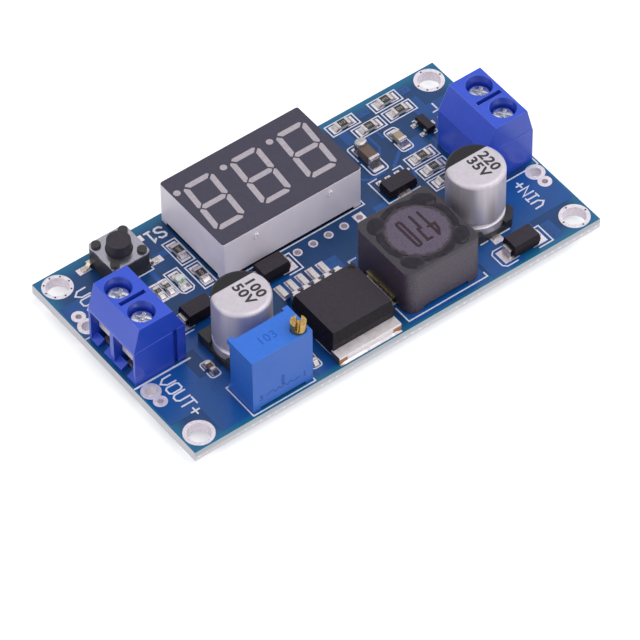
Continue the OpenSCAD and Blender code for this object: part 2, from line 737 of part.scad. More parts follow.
contact_x = well_x - 1.9;
contact_l = chamber_depth - 0.15 - contact_x;
leaf_z = contact_t + wire_gap;
leaf_back = contact_x + contact_l - contact_t - 0.25;
head_z = leaf_z + leaf_t + shank_l;
point_l = leaf_h - leaf_t + 0.2;
sill_depth = contact_x - 0.15;

module output_end() translate([-board_l / 2 + block_setback, block_y, deck]) children();
module input_end() rotate(180) translate([-board_l / 2 + block_setback, -block_y, deck]) children();

module block_row() for (row = [-0.5, 0.5]) translate([0, row * block_pitch, 0]) children();

module block_housing() {
    difference() {
        union() {
            across(block_w - 2 * side_step) polygon([[0, 0], [0, hood_z], [hood_run, block_h],
                [block_depth - back_run, block_h], [block_depth, block_h - back_drop], [block_depth, 0]]);
            across(block_w) polygon([[0, 0], [0, hood_z], [block_depth, block_h - back_drop], [block_depth, 0]]);
        }
        block_row() {
            translate([-cut, -chamber_w / 2, -cut]) cube([chamber_depth + cut, chamber_w, chamber_h + cut]);
            translate([well_x, 0, chamber_h - cut]) cylinder(h = block_h - chamber_h + 2 * cut, r = well_r);
            translate([well_x, 0, block_h - well_chamfer])
                cylinder(h = well_chamfer + cut, r1 = well_r, r2 = well_r + well_chamfer + cut);
        }
        translate([well_x + 0.4, 0, block_h - slot_d]) box(slot_l, slot_w, slot_d + cut);
        translate([block_depth - dovetail_back, -block_w / 2, -cut]) dovetail(block_h - back_drop + cut, 0);
    }
    translate([block_depth - dovetail_back, block_w / 2, 0]) dovetail(block_h - back_drop, 0.08);
    block_row() for (side = [0, 1]) mirror([0, side, 0])
        translate([0, chamber_w / 2 - sill_w / 2 + 0.05, 0]) across(sill_w + 0.1)
            polygon([[0, 0], [sill_depth, 0], [sill_depth, sill_h], [0, sill_h / 3]]);
}

// Tapered key along Z, wider inside; smaller all round by room
module dovetail(h, room)
    linear_extrude(h) polygon([[-dovetail_w / 3 + room, -0.05], [dovetail_w / 3 - room, -0.05],
        [dovetail_w / 2 - room, dovetail_d - room], [-dovetail_w / 2 + room, dovetail_d - room]]);

module block_contacts() block_row() {
    difference() {
        union() {
            across(contact_w) difference() {
                translate([contact_x, 0]) square([contact_l, contact_h]);
                translate([contact_x - cut, contact_t])
                    square([contact_l - contact_t + cut, contact_h - contact_t - nut_t]);
            }
            translate([contact_x, -chamber_w / 2 + 0.1, contact_h - nut_t])
                cube([contact_l, chamber_w - 0.2, nut_t]);
        }
        translate([well_x, 0, contact_h - nut_t - cut]) cylinder(h = nut_t + 2 * cut, r = shank_r + thread_clear);
    }
    translate([contact_pin_x, 0, -pin_drop]) cylinder(h = pin_drop + contact_t / 2, r = contact_pin_r);
}

module clamp_leaf()
    across(chamber_w - 0.2) strip([[contact_x + 0.05 + leaf_t / 2, leaf_z + leaf_h],
        [contact_x + 0.05 + leaf_t / 2, leaf_z + leaf_t / 2], [leaf_back, leaf_z + leaf_t / 2]], leaf_t);

module clamp_screw() translate([well_x, 0, 0]) difference() {
    translate([0, 0, leaf_z + leaf_t]) rotate_extrude() {
        square([point_r, shank_l]);
        translate([0, point_l]) square([shank_r, shank_l - point_l + head_h / 2]);
        translate([0, shank_l]) {
            square([head_r, head_h - head_round]);
            square([head_r - head_round, head_h]);
            translate([head_r - head_round, head_h - head_round]) circle(head_round);
        }
    }
    for (turn = [0, 90]) rotate(turn + 35) translate([0, 0, head_z + head_h * 0.4])
        box(2 * head_r - 1, cross_w, head_h);
}
head_round = 0.3;

module output_block_housing() color("royalblue") output_end() block_housing();
module output_block_contacts() color("silver") output_end() block_contacts();
module output_leaf(row) color("silver") output_end() translate([0, row * block_pitch, 0]) clamp_leaf();
module output_screw(row) color("lightgray") output_end() translate([0, row * block_pitch, 0]) clamp_screw();
module output_leaf_1() output_leaf(-0.5);
module output_leaf_2() output_leaf(0.5);
module output_screw_1() output_screw(-0.5);
module output_screw_2() output_screw(0.5);

module input_block_housing() color("royalblue") input_end() block_housing();
module input_block_contacts() color("silver") input_end() block_contacts();
module input_leaf(row) color("silver") input_end() translate([0, row * block_pitch, 0]) clamp_leaf();
module input_screw(row) color("lightgray") input_end() translate([0, row * block_pitch, 0]) clamp_screw();
module input_leaf_1() input_leaf(0.5);
module input_leaf_2() input_leaf(-0.5);
module input_screw_1() input_screw(0.5);
module input_screw_2() input_screw(-0.5);

// Display

display_body_h = display_h - face_t;
reflector_z = circuit_z + circuit_t;
digit_count = 3;
tip = 0.15;

// Outline of a stroke along X with pointed ends, tips moved by k to one side
function stroke(half, k) = let (s = segment_w / 2)
    [[-half, k], [-half + s - k, s], [half - s + k, s], [half, k], [half - s - k, -s], [-half + s + k, -s]];
function leaning(points, shift) = [for (p = points) let (q = p + shift) [q.x + q.y * tan(lean), q.y]];
function turned(points) = [for (p = points) [p.y, p.x]];

module digit() {
    across_half = digit_w / 2 - segment_gap;
    up_half = digit_rise / 2 - segment_gap;
    for (k = [-1 : 1]) polygon(leaning(stroke(across_half, k * tip), [0, k * digit_rise]));
    for (x = [-1, 1], y = [-0.5, 0.5])
        polygon(leaning(turned(stroke(up_half, x * tip)), [x * digit_w / 2, y * digit_rise]));
    translate([-digit_w / 2 + (digit_rise - segment_w / 2) * tan(lean) - segment_w / 2 - dot_gap - dot_r - 0.2,
               digit_rise + segment_w / 2 - dot_r - 0.05]) circle(dot_r);
}

module digits() for (i = [0 : digit_count - 1])
    translate([(i - (digit_count - 1) / 2) * digit_pitch, 0]) digit();

module display_housing() color("gainsboro") at(display_at) difference() {
    linear_extrude(display_body_h) rounded(display_w, display_d, display_r);
    translate([0, 0, -cut])
        box(display_w - 2 * display_wall, display_d - 2 * display_wall, reflector_z + cut);
    translate([0, 0, -cut]) box(display_w - 2 * foot_l, display_d + 2, foot_gap + cut);
    translate([0, 0, -cut]) box(display_w + 2, display_d - 2 * foot_l, foot_gap + cut);
    translate([0, 0, reflector_z - cut]) linear_extrude(display_body_h) digits();
}

module display_face() color("#45424e") at(display_at, deck + display_body_h) linear_extrude(face_t) difference() {
    rounded(display_w - 0.1, display_d - 0.1, display_r);
    digits();
}

module display_segments() color("#b5adb5") at(display_at, deck + reflector_z)
    linear_extrude(display_h - reflector_z) digits();

module display_circuit() color("#1d5a34") at(display_at, deck + circuit_z) difference() {
    box(display_w - 2 * display_wall, display_d - 2 * display_wall, circuit_t);
    for (p = display_pin_places) translate([p.x - display_at.x, p.y - display_at.y, -cut])
        box(display_pin_w, display_pin_w, circuit_t + 2 * cut);
}

module display_pins() color("silver") for (p = display_pin_places)
    at(p, -pin_tail) box(display_pin_w, display_pin_w, pin_drop + circuit_z + circuit_t / 2);

// Controller chip in the hollow under the display

controller_lead_l = 1;
controller_pitch = 0.65;
controller_side_leads = 10;
controller_xs = [for (i = [0 : controller_side_leads - 1]) (i - (controller_side_leads - 1) / 2) * controller_pitch];

module controller_body() color("#222222") at(display_at) difference() {
    translate([0, 0, 0.1]) moulded(controller_l, controller_w, controller_h - 0.1, controller_h / 2 - 0.1, 0.1);
    controller_metal();
}

module controller_metal() for (s = [0, 180]) rotate(s) for (x = controller_xs)
    translate([x, controller_w / 2, 0]) rotate(90)
        gull(controller_lead_l, controller_h / 2, 0.5, 0.13, 0.22, lead_in);

module controller_leads() color("silver") at(display_at) controller_metal();

// Push switch

switch_floor = 1;
switch_well_r = plunger_r + 0.5;
switch_lead_w = 0.7;
switch_lead_t = 0.2;
post_places = [for (x = [-1, 1], y = [-1, 1]) [x, y] * (switch_w / 2 - 0.85)];

module switch_base() color("#1c1c1f") at(switch_at) {
    difference() {
        linear_extrude(switch_h) rounded(switch_w, switch_w, switch_round);
        translate([0, 0, switch_floor]) cylinder(h = switch_h, r = switch_well_r);
    }
    for (p = post_places) at(p, switch_h - 0.2) cylinder(h = cover_t + post_h + 0.2, r = post_r);
}

module switch_cover() color("silver") at(switch_at, deck + switch_h) linear_extrude(cover_t) difference() {
    rounded(switch_w, switch_w, switch_round);
    circle(plunger_r + plunger_clear);
    for (p = post_places) translate(p) circle(post_r);
}

module switch_plunger() color("#17171a") at(switch_at) {
    translate([0, 0, switch_h - 0.6]) cylinder(h = 0.55, r = switch_well_r - 0.1);
    translate([0, 0, switch_h - 0.1]) cylinder(h = cover_t + 0.2, r = plunger_r);
    translate([0, 0, switch_h + cover_t + 0.05])
        cylinder(h = plunger_h - 0.05, r1 = plunger_r, r2 = plunger_r - 0.12);
    translate([0, 0, switch_floor + dome_rise]) cylinder(h = switch_h - switch_floor - dome_rise - 0.3, r = 0.8);
}

dome_t = 0.08;
dome_foot_r = switch_well_r - 0.15;
dome_sphere_r = (dome_foot_r * dome_foot_r + dome_rise * dome_rise) / (2 * dome_rise);
module switch_dome() color("silver") at(switch_at, deck + switch_floor + dome_rise - dome_sphere_r)
    rotate_extrude() intersection() {
        difference() {
            circle(dome_sphere_r, $fn = 180);
            circle(dome_sphere_r - dome_t, $fn = 180);
        }
        translate([0, dome_sphere_r - dome_rise]) square([dome_foot_r, dome_rise]);
    }

module switch_leads() color("silver") at(switch_at)
    for (s = [0, 180], y = [-0.5, 0.5]) rotate(s) translate([switch_w / 2, y * switch_lead_pitch, 0])
        gull(switch_lead_l, 0.7, 0.9, switch_lead_t, switch_lead_w);

// Electrolytic capacitors, positive lead towards -Y

can_lead_t = 0.2;
can_lead_in = 1.2;
crimp_r = 0.55;

module can() rotate_extrude() difference() {
    union() {
        translate([0, base_floor]) square([can_r, can_h - can_round - base_floor]);
        translate([0, base_floor]) square([can_r - can_round, can_h - base_floor]);
        translate([can_r - can_round, can_h - can_round]) circle(can_round);
    }
    translate([can_r + crimp_r - crimp_d, crimp_z]) circle(crimp_r);
}

module can_base_outline() {
    half = can_base_w / 2;
    polygon([[-half, half], [half, half], [half, -half + base_cut], [half - base_cut, -half],
             [-half + base_cut, -half], [-half, -half + base_cut]]);
}

module can_base() difference() {
    union() {
        linear_extrude(base_floor) can_base_outline();
        linear_extrude(base_post_h) difference() {
            can_base_outline();
            circle(can_r + 0.05);
            square([can_r * 0.9, can_base_w + 2], center = true);
            square([can_base_w + 2, can_r * 0.9], center = true);
        }
    }
    can_leads();
}

module can_leads() for (s = [0, 180]) rotate(s) {
    translate([-can_lead_w / 2, can_lead_in, 0])
        cube([can_lead_w, can_base_w / 2 - can_lead_in + can_lead_l, can_lead_t]);
    translate([-can_lead_w / 2, can_lead_in, 0]) cube([can_lead_w, can_lead_t, base_floor]);
}

module output_capacitor_can() color("silver") at(output_capacitor_at) can();
module output_capacitor_base() color("#1a1a1c") at(output_capacitor_at) can_base();
module output_capacitor_leads() color("gainsboro") at(output_capacitor_at) can_leads();
module input_capacitor_can() color("silver") at(input_capacitor_at) can();
module input_capacitor_base() color("#1a1a1c") at(input_capacitor_at) can_base();
module input_capacitor_leads() color("gainsboro") at(input_capacitor_at) can_leads();

// Shielded inductor

resin_t = 1;
resin_drop = 0.12;
terminal_t = 0.25;
pocket_at = (shield_bore_r - 0.1) / sqrt(2);

module shield_opening() {
    circle(shield_bore_r, $fn = 96);
    for (x = [-1, 1], y = [-1, 1]) translate([x, y] * pocket_at) circle(pocket_r);
}

// Outline of the shield seen from a side, its top edges chamfered
module shield_side() {
    half = shield_w / 2;
    polygon([[-half, 0], [half, 0], [half, shield_h - shield_chamfer], [half - shield_chamfer, shield_h],
             [shield_chamfer - half, shield_h], [-half, shield_h - shield_chamfer]]);
}

module inductor_shield() color("#4d4852") at(inductor_at) difference() {
    intersection() {
        linear_extrude(shield_h) difference() {
            rounded(shield_w, shield_w, shield_r);
            shield_opening();
        }
        across(shield_w + 1) shield_side();
        rotate(90) across(shield_w + 1) shield_side();
    }
    for (turn = [0, 90]) rotate(turn) translate([0, 0, -cut])
        box(shield_w + 2, shield_w - 2 * shield_foot, shield_gap + cut);
}

module inductor_core() color("#6a6570") at(inductor_at) {
    translate([0, 0, shield_gap]) cylinder(h = drum_t, r = drum_r);
    translate([0, 0, shield_gap]) cylinder(h = shield_h - shield_gap, r = drum_post_r);
    translate([0, 0, shield_h - drum_t]) cylinder(h = drum_t, r = drum_r);
}

module inductor_winding() color("#b06a3a") at(inductor_at) rotate_extrude() {
    low = shield_gap + drum_t;
    high = shield_h - drum_t;
    turns = floor((high - low) / wire_d);
    thick = drum_r - drum_post_r - 0.5;
    translate([drum_post_r, low]) square([thick - wire_d / 2, high - low]);
    for (i = [0 : turns - 1])
        translate([drum_post_r + thick - wire_d / 2, low + (high - low) * (i + 0.5) / turns]) circle(d = wire_d);
}

module inductor_resin() color("#2c2a30") at(inductor_at, deck + shield_h - resin_t - resin_drop)
    linear_extrude(resin_t) difference() {
        shield_opening();
        circle(drum_r, $fn = 96);
    }

module inductor_terminals() color("#cdbf8a") at(inductor_at) for (s = [0, 180]) rotate(s)
    across(terminal_w) strip([[shield_w / 2 - 2, terminal_t / 2],
        [shield_w / 2 + terminal_t / 2, terminal_t / 2], [shield_w / 2 + terminal_t / 2, terminal_h]], terminal_t);

// Switching regulator, leads towards +Y

lead_xs = [for (i = [0 : lead_count - 1]) (i - (lead_count - 1) / 2) * lead_pitch];
lead_rise = 2.5;
shoulder_l = 1.1;
tab_in = 6.5;

module regulator_body() color("#3a373c") at(regulator_at) difference() {
    moulded(regulator_w, regulator_l, regulator_h, lead_rise, 0.3);
    tab_slab();
    regulator_metal();
    translate([regulator_w / 2 - dimple_in, regulator_l / 2 - dimple_in, regulator_h - dimple_d])
        cylinder(h = dimple_d + cut, r = dimple_r);
}

module tab_slab() translate([0, -regulator_l / 2 - tab_l, 0]) {
    translate([-regulator_w / 2, 0, 0]) cube([regulator_w, tab_l + 0.4, tab_t]);
    translate([-regulator_w / 2 + 0.9, 0, 0]) cube([regulator_w - 1.8, tab_l + tab_in, tab_t]);
}

module regulator_tab() color("gainsboro") at(regulator_at) tab_slab();

module regulator_leads() color("gainsboro") at(regulator_at) regulator_metal();

module regulator_metal() for (x = lead_xs) translate([x, regulator_l / 2, 0]) rotate(90) {
    across(shoulder_w) translate([-lead_in, lead_rise - lead_t / 2]) square([shoulder_l + lead_in, lead_t]);
    across(lead_w) strip([[0, lead_rise], [shoulder_l + 0.4, lead_rise],
        [lead_l - lead_foot, lead_t / 2], [lead_l, lead_t / 2]], lead_t);
}

// Multi-turn trimmer: worm screw near the front right corner, wheel on a pivot from the front wall

trimmer_roof = 1;
trimmer_foot_h = 0.4;
trimmer_foot_l = 1.2;
screw_x = trimmer_w / 2 - trimmer_screw_in;
screw_y = -trimmer_d / 2 + trimmer_screw_in;
wheel_x = screw_x - worm_r - mesh_clear - wheel_r;
wheel_z = trimmer_foot_h + potting_t + wheel_r + 0.6;
tooth_h = 0.22;
element_y = trimmer_d / 2 - trimmer_wall - element_t;
wiper_t = 0.2;
wiper_w = 0.6;

module trimmer_place() at(trimmer_at) children();
module wheel_place() translate([wheel_x, screw_y, wheel_z]) rotate([90, 0, 0]) children();

module trimmer_housing() color("#2f62d8") trimmer_place() {
    difference() {
        union() {
            box(trimmer_w, trimmer_d, trimmer_h);
            for (s = [-1, 1], z = [0, trimmer_h - nib_h])
                translate([s * (trimmer_w - nib_w) / 2, trimmer_d / 2, z]) box(nib_w, 2 * nib_d, nib_h);
        }
        translate([0, 0, -cut]) box(trimmer_w - 2 * trimmer_wall, trimmer_d - 2 * trimmer_wall,
            trimmer_h - trimmer_roof + cut);
        translate([0, 0, -cut]) box(trimmer_w - 2 * trimmer_foot_l, trimmer_d + 2 * nib_d + 1, trimmer_foot_h + cut);
        translate([screw_x, screw_y, trimmer_h - trimmer_roof - cut])
            cylinder(h = trimmer_roof + 2 * cut, r = trimmer_head_r + 0.04);
    }
    wheel_place() translate([0, 0, -wheel_t / 2 - 0.05])
        cylinder(h = screw_y + trimmer_d / 2 - trimmer_wall / 2 + wheel_t / 2 + 0.05, r = pivot_r);
    wheel_place() translate([0, 0, wheel_t / 2 + 0.05])
        cylinder(h = screw_y + trimmer_d / 2 - trimmer_wall / 2 - wheel_t / 2, r = pivot_r + 0.4);
}

module trimmer_screw() color("#c79a3c") trimmer_place() translate([screw_x, screw_y, 0]) {
    translate([0, 0, wheel_z - wheel_r]) cylinder(h = trimmer_h - trimmer_roof - wheel_z + wheel_r + cut, r = worm_r);
    difference() {
        translate([0, 0, trimmer_h - trimmer_roof]) cylinder(h = trimmer_roof + trimmer_head_h, r = trimmer_head_r);
        translate([0, 0, trimmer_h + trimmer_head_h - trimmer_slot_d]) rotate(-42) across(2 * trimmer_head_r + 1) {
            translate([-trimmer_slot_w / 2, trimmer_slot_w / 2]) square([trimmer_slot_w, trimmer_slot_d]);
            translate([0, trimmer_slot_w / 2]) circle(d = trimmer_slot_w);
        }
    }
}

module trimmer_wheel() color("ivory") trimmer_place() wheel_place() linear_extrude(wheel_t, center = true) difference() {
    polygon([for (i = [0 : wheel_teeth - 1], k = [0 : 3])
        let (a = (i + [-0.32, -0.14, 0.14, 0.32][k]) * 360 / wheel_teeth,
             r = wheel_r - [tooth_h, 0, 0, tooth_h][k]) [r * cos(a), r * sin(a)]]);
    circle(pivot_r + pivot_clear);
}

// Spring contact on the wheel's back, reaching across to the element
module trimmer_wiper() color("#c9b37a") trimmer_place() {
    reach = element_y - screw_y - wheel_t / 2;
    wheel_place() translate([0, 0, -wheel_t / 2 - wiper_t]) linear_extrude(wiper_t) difference() {
        union() {
            circle(pivot_r + 0.5);
            translate([-wiper_w / 2, 0]) square([wiper_w, wheel_r - tooth_h]);
        }
        circle(pivot_r + pivot_clear);
    }
    translate([wheel_x, screw_y + wheel_t / 2, wheel_z + wheel_r - tooth_h - wiper_w])
        box_along(reach - 0.05);
}

// Post of the wiper, l long along +Y
module box_along(l) translate([-wiper_w / 2, 0, 0]) cube([wiper_w, l, wiper_w]);

module trimmer_element() color("whitesmoke") trimmer_place()
    translate([-trimmer_w / 2 + trimmer_wall + 0.1, element_y, trimmer_foot_h + potting_t])
        cube([trimmer_w - 2 * trimmer_wall - 0.2, element_t, wheel_z + wheel_r - trimmer_foot_h - potting_t]);

module trimmer_pins() color("silver") for (p = trimmer_pin_places)
    at(p, -pin_tail) cylinder(h = pin_drop + trimmer_foot_h + potting_t, r = trimmer_pin_r);

module trimmer_potting() color("#1f4aa8") trimmer_place() difference() {
    translate([0, 0, trimmer_foot_h]) box(trimmer_w - 2 * trimmer_wall, trimmer_d - 2 * trimmer_wall, potting_t);
    for (i = [-1 : 1]) translate([i * pin_pitch, trimmer_pin_y, 0]) cylinder(h = trimmer_h, r = trimmer_pin_r);
}

// Small parts

module diode_bodies() color("#222224") for (d = diodes) at(d) difference() {
    translate([0, 0, diode_lead_t]) moulded(diode_l, diode_w, diode_h - diode_lead_t, diode_h / 2, 0.15);
    diode_metal();
}

// Leads leave the middle of each end and fold under the body
module diode_metal() for (s = [0, 180]) rotate(s) across(diode_lead_w) {
    rise = diode_lead_t + diode_h / 2;
    fold = diode_l / 2 + 0.35;
    strip([[diode_l / 2 - lead_in, rise], [fold, rise], [fold, diode_lead_t / 2],
        [diode_l / 2 - 0.9, diode_lead_t / 2]], diode_lead_t);
}

module diode_leads() color("gainsboro") for (d = diodes) at(d) diode_metal();

ldo_pitch = 1.5;
ldo_lead_w = 0.45;
ldo_lead_t = 0.4;
ldo_tab_w = 1.7;
ldo_lead_l = 1;

module ldo_body() color("#2a292c") at(ldo_at) difference() {
    moulded(ldo_w, ldo_d, ldo_h, ldo_lead_t, 0.12);
    ldo_metal();
}

module ldo_metal() {
    for (i = [-1, 1]) translate([i * ldo_pitch - ldo_lead_w / 2, ldo_d / 2 - 0.5, 0])
        cube([ldo_lead_w, ldo_lead_l + 0.5, ldo_lead_t]);
    translate([-ldo_lead_w / 2, 0, 0]) cube([ldo_lead_w, ldo_d / 2 + ldo_lead_l, ldo_lead_t]);
    translate([-ldo_tab_w / 2, -ldo_d / 2 - 0.6, 0]) cube([ldo_tab_w, ldo_d / 2 + 1, ldo_lead_t]);
}

module ldo_leads() color("gainsboro") at(ldo_at) ldo_metal();

transistor_pitch = 0.97;
transistor_leads_at = [[-1, transistor_pitch], [-1, -transistor_pitch], [1, 0]];

module transistor_body() color("#242326") at(transistor_at) difference() {
    translate([0, 0, 0.08])
        moulded(transistor_w, transistor_l, transistor_h - 0.08, transistor_h / 2 - 0.08, 0.08);
    transistor_metal();
}

module transistor_metal() for (p = transistor_leads_at)
    translate([p[0] * transistor_w / 2, p[1], 0]) rotate(p[0] > 0 ? 0 : 180)
        gull(0.6, transistor_h / 2, 0.3, 0.13, 0.42, lead_in);

module transistor_leads() color("gainsboro") at(transistor_at) transistor_metal();

// Chip part along X: body between end caps that wrap its ends, top and bottom
module chip_body(l, w, h) translate([0, 0, cap_t]) box(l - 2 * cap_t, w, h - 2 * cap_t);

module chip_ends(l, w, h) for (s = [0, 180]) rotate(s) difference() {
    translate([l / 2 - cap_l, -w / 2, 0]) cube([cap_l, w, h]);
    translate([l / 2 - cap_l - cut, -w / 2 - cut, cap_t]) cube([cap_l + cut - cap_t, w + 2 * cut, h - 2 * cap_t]);
}

// Ceramic capacitor: the caps wrap the sides too
module ceramic_body(l, w, h) translate([0, 0, cap_t]) box(l - 2 * cap_t, w - 2 * cap_t, h - 2 * cap_t);

module ceramic_end_pair(l, w, h) for (s = [0, 180]) rotate(s) difference() {
    translate([l / 2 - cap_l, -w / 2, 0]) cube([cap_l, w, h]);
    translate([l / 2 - cap_l - cut, -w / 2 + cap_t, cap_t])
        cube([cap_l + cut - cap_t, w - 2 * cap_t, h - 2 * cap_t]);
}

module resistor_bodies() color("#2b2a2c") {
    for (r = large_resistors) at(r[0], deck, r[1]) chip_body(chip_l, chip_w, chip_h);
    for (r = small_resistors) at(r[0], deck, r[1]) chip_body(small_chip_l, small_chip_w, chip_h);
}

module resistor_ends() color("gainsboro") {
    for (r = large_resistors) at(r[0], deck, r[1]) chip_ends(chip_l, chip_w, chip_h);
    for (r = small_resistors) at(r[0], deck, r[1]) chip_ends(small_chip_l, small_chip_w, chip_h);
}

module ceramic_bodies() color("#a98a63") for (c = ceramics) at(c[0], deck, 90) ceramic_body(c[1], c[2], c[3]);

module ceramic_ends() color("gainsboro") for (c = ceramics) at(c[0], deck, 90) ceramic_end_pair(c[1], c[2], c[3]);

indicator_base_h = 0.3;

// Indicator light: carrier slab with a clear block between the caps
module indicator_body() color("#dfeade") at(indicator_at, deck, 90) {
    translate([0, 0, cap_t]) box(chip_l - 2 * cap_t, chip_w, indicator_base_h - 2 * cap_t);
    translate([0, 0, indicator_base_h - cap_t]) across(chip_w)
        polygon([[-chip_l / 2 + cap_l + 0.1, 0], [chip_l / 2 - cap_l - 0.1, 0],
                 [chip_l / 2 - cap_l - 0.2, indicator_h - indicator_base_h],
                 [-chip_l / 2 + cap_l + 0.2, indicator_h - indicator_base_h]]);
}

module indicator_ends() color("gainsboro") at(indicator_at, deck, 90) chip_ends(chip_l, chip_w, indicator_base_h);

board();
solder_pads();
solder_joints();
output_block_housing();
output_block_contacts();
output_leaf_1();
output_leaf_2();
output_screw_1();
output_screw_2();
input_block_housing();
input_block_contacts();
input_leaf_1();
input_leaf_2();
input_screw_1();
input_screw_2();
display_housing();
display_face();
display_segments();
display_circuit();
display_pins();
controller_body();
controller_leads();
switch_base();
switch_cover();
switch_plunger();
switch_dome();
switch_leads();
output_capacitor_can();
output_capacitor_base();
output_capacitor_leads();
input_capacitor_can();
input_capacitor_base();
input_capacitor_leads();
inductor_shield();
inductor_core();
inductor_winding();
inductor_resin();
inductor_terminals();
regulator_body();
regulator_tab();
regulator_leads();
trimmer_housing();
trimmer_screw();
trimmer_wheel();
trimmer_wiper();
trimmer_element();
trimmer_pins();
trimmer_potting();
diode_bodies();
diode_leads();
ldo_body();
ldo_leads();
transistor_body();
transistor_leads();
resistor_bodies();
resistor_ends();
ceramic_bodies();
ceramic_ends();
indicator_body();
indicator_ends();
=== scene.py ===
"""Dresses a boost converter module: finishes, copper relief, prints, solder and studio."""
import json
import math

import bpy
from bpy.props import FloatProperty, FloatVectorProperty, PointerProperty
from mathutils import Matrix, Vector


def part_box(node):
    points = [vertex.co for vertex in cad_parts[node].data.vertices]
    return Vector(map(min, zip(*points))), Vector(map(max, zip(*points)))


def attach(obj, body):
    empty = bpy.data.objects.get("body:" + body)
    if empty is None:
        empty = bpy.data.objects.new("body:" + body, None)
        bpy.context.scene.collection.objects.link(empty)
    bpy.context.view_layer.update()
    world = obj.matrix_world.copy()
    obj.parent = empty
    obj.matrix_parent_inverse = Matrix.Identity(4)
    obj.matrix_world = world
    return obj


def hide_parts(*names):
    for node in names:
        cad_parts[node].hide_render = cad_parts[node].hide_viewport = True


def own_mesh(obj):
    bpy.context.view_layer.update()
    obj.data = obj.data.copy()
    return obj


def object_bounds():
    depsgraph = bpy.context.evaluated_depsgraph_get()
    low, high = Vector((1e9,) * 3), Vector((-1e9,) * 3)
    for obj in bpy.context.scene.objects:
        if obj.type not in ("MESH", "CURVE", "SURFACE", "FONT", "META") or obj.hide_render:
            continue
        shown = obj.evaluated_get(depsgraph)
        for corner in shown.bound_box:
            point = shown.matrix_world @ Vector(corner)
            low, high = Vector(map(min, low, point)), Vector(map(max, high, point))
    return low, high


bl_info = {
    "name": "Converter Module Dressing",
    "version": (1, 0, 0),
    "blender": (4, 5, 0),
    "location": "3D View > Sidebar > Converter",
    "description": "Finishes, prints, solder and studio for a boost converter module",
    "category": "Object",
}

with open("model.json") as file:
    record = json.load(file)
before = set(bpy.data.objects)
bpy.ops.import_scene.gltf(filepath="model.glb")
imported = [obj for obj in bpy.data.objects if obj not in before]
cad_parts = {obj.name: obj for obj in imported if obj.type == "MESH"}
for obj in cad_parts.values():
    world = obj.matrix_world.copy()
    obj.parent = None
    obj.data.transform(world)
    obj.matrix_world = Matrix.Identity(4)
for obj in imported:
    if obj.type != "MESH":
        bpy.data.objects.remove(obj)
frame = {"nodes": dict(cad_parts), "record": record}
CAD_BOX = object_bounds()
NODES = frame["nodes"]
MM = 0.001
QUARTER = math.pi / 2
MERGE = 0.0001 * MM
BOARD_LOW, BOARD_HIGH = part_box("board")
BOARD_TOP = BOARD_HIGH.z
PAD_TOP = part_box("solder_pads")[1].z
HOLE = next(m for m in frame["record"]["mounts"] if m["name"] == "board_holes")["dims"]
HOLE_PLACES = [(i * HOLE["spacing_x_mm"] / 2, j * HOLE["spacing_y_mm"] / 2) for i in (-1, 1) for j in (-1, 1)]


# Settings

def colour(name, description, default):
    """A colour setting in linear light."""
    return FloatVectorProperty(name=name, description=description, subtype="COLOR", size=3,
                               min=0.0, max=1.0, default=default)


def length(name, description, millimetres):
    """A length setting, given in millimetres and kept in metres."""
    return FloatProperty(name=name, description=description, subtype="DISTANCE", unit="LENGTH",
                         min=0.0, precision=5, default=millimetres * MM)


def power(name, description, watts):
    """A lamp's power."""
    return FloatProperty(name=name, description=description, unit="POWER", min=0.0, default=watts)


class ConverterColours(bpy.types.PropertyGroup):
    """Colours of the module's finishes"""
    bare_mask: colour("Bare mask", "Blue lacquer over bare laminate", (0.003, 0.048, 0.168))
    pour_mask: colour("Copper mask", "Blue lacquer over copper", (0.004, 0.08, 0.315))
    edge_mask: colour("Edge mask", "Lacquer over clear laminate at the board's edges", (0.006, 0.145, 0.3))
    laminate: colour("Laminate", "Cut edge of the board", (0.84, 0.82, 0.88))
    ink: colour("White ink", "Printed lines and letters on the board", (0.79, 0.8, 0.92))
    tin: colour("Tin", "Plated leads and the heat tab", (0.63, 0.585, 0.6))
    block: colour("Terminal block", "Moulded terminal blocks", (0.022, 0.08, 0.66))
    trimmer: colour("Trimmer", "Moulded trimmer housing", (0.025, 0.17, 0.74))
    display_side: colour("Display body", "White moulding round the display", (0.95, 0.88, 0.96))
    display_face: colour("Display face", "Dark film on the display", (0.037, 0.031, 0.062))
    segment: colour("Segments", "Unlit segments of the display", (0.46, 0.41, 0.46))
    moulding: colour("Chip moulding", "Moulding compound of chips and diodes", (0.026, 0.019, 0.029))
    ferrite: colour("Ferrite", "Inductor shield", (0.04, 0.026, 0.046))
    can: colour("Can", "Capacitor sleeves", (0.63, 0.585, 0.65))


class ConverterPrints(bpy.types.PropertyGroup):
    """Sizes of the printed and soldered details"""
    line: length("Line width", "Width of the printed lines on the board", 0.2)
    ink: length("Ink thickness", "Thickness of the printed ink", 0.02)
    copper: length("Copper step", "Height of the copper under the lacquer", 0.03)
    label: length("Label height", "Height of the letters at the output block", 1.95)
    can_code: length("Can figures", "Height of the figures on the capacitors", 1.4)
    core_code: length("Core figures", "Height of the figures on the inductor", 4.75)
    chip_code: length("Chip figures", "Height of the figures on the chip resistors", 0.41)
    plating: length("Plating", "Thickness of the plating in the mounting holes", 0.03)


class ConverterStudio(bpy.types.PropertyGroup):
    """Lights and camera"""
    sky: FloatProperty(name="Sky", description="Strength of the even light from all round", min=0.0, default=0.55)
    key: power("Key lamp", "Power of the large lamp overhead", 2.4)
    fill: power("Fill lamp", "Power of the small lamp at the output end", 0.5)
    glint: power("Glint lamp", "Power of the small lamp that makes highlights", 0.35)
    lens: FloatProperty(name="Lens", description="Focal length on a 36 mm sensor, in millimetres",
                        min=1.0, default=303.584)


# Modelling steps that the pieces share

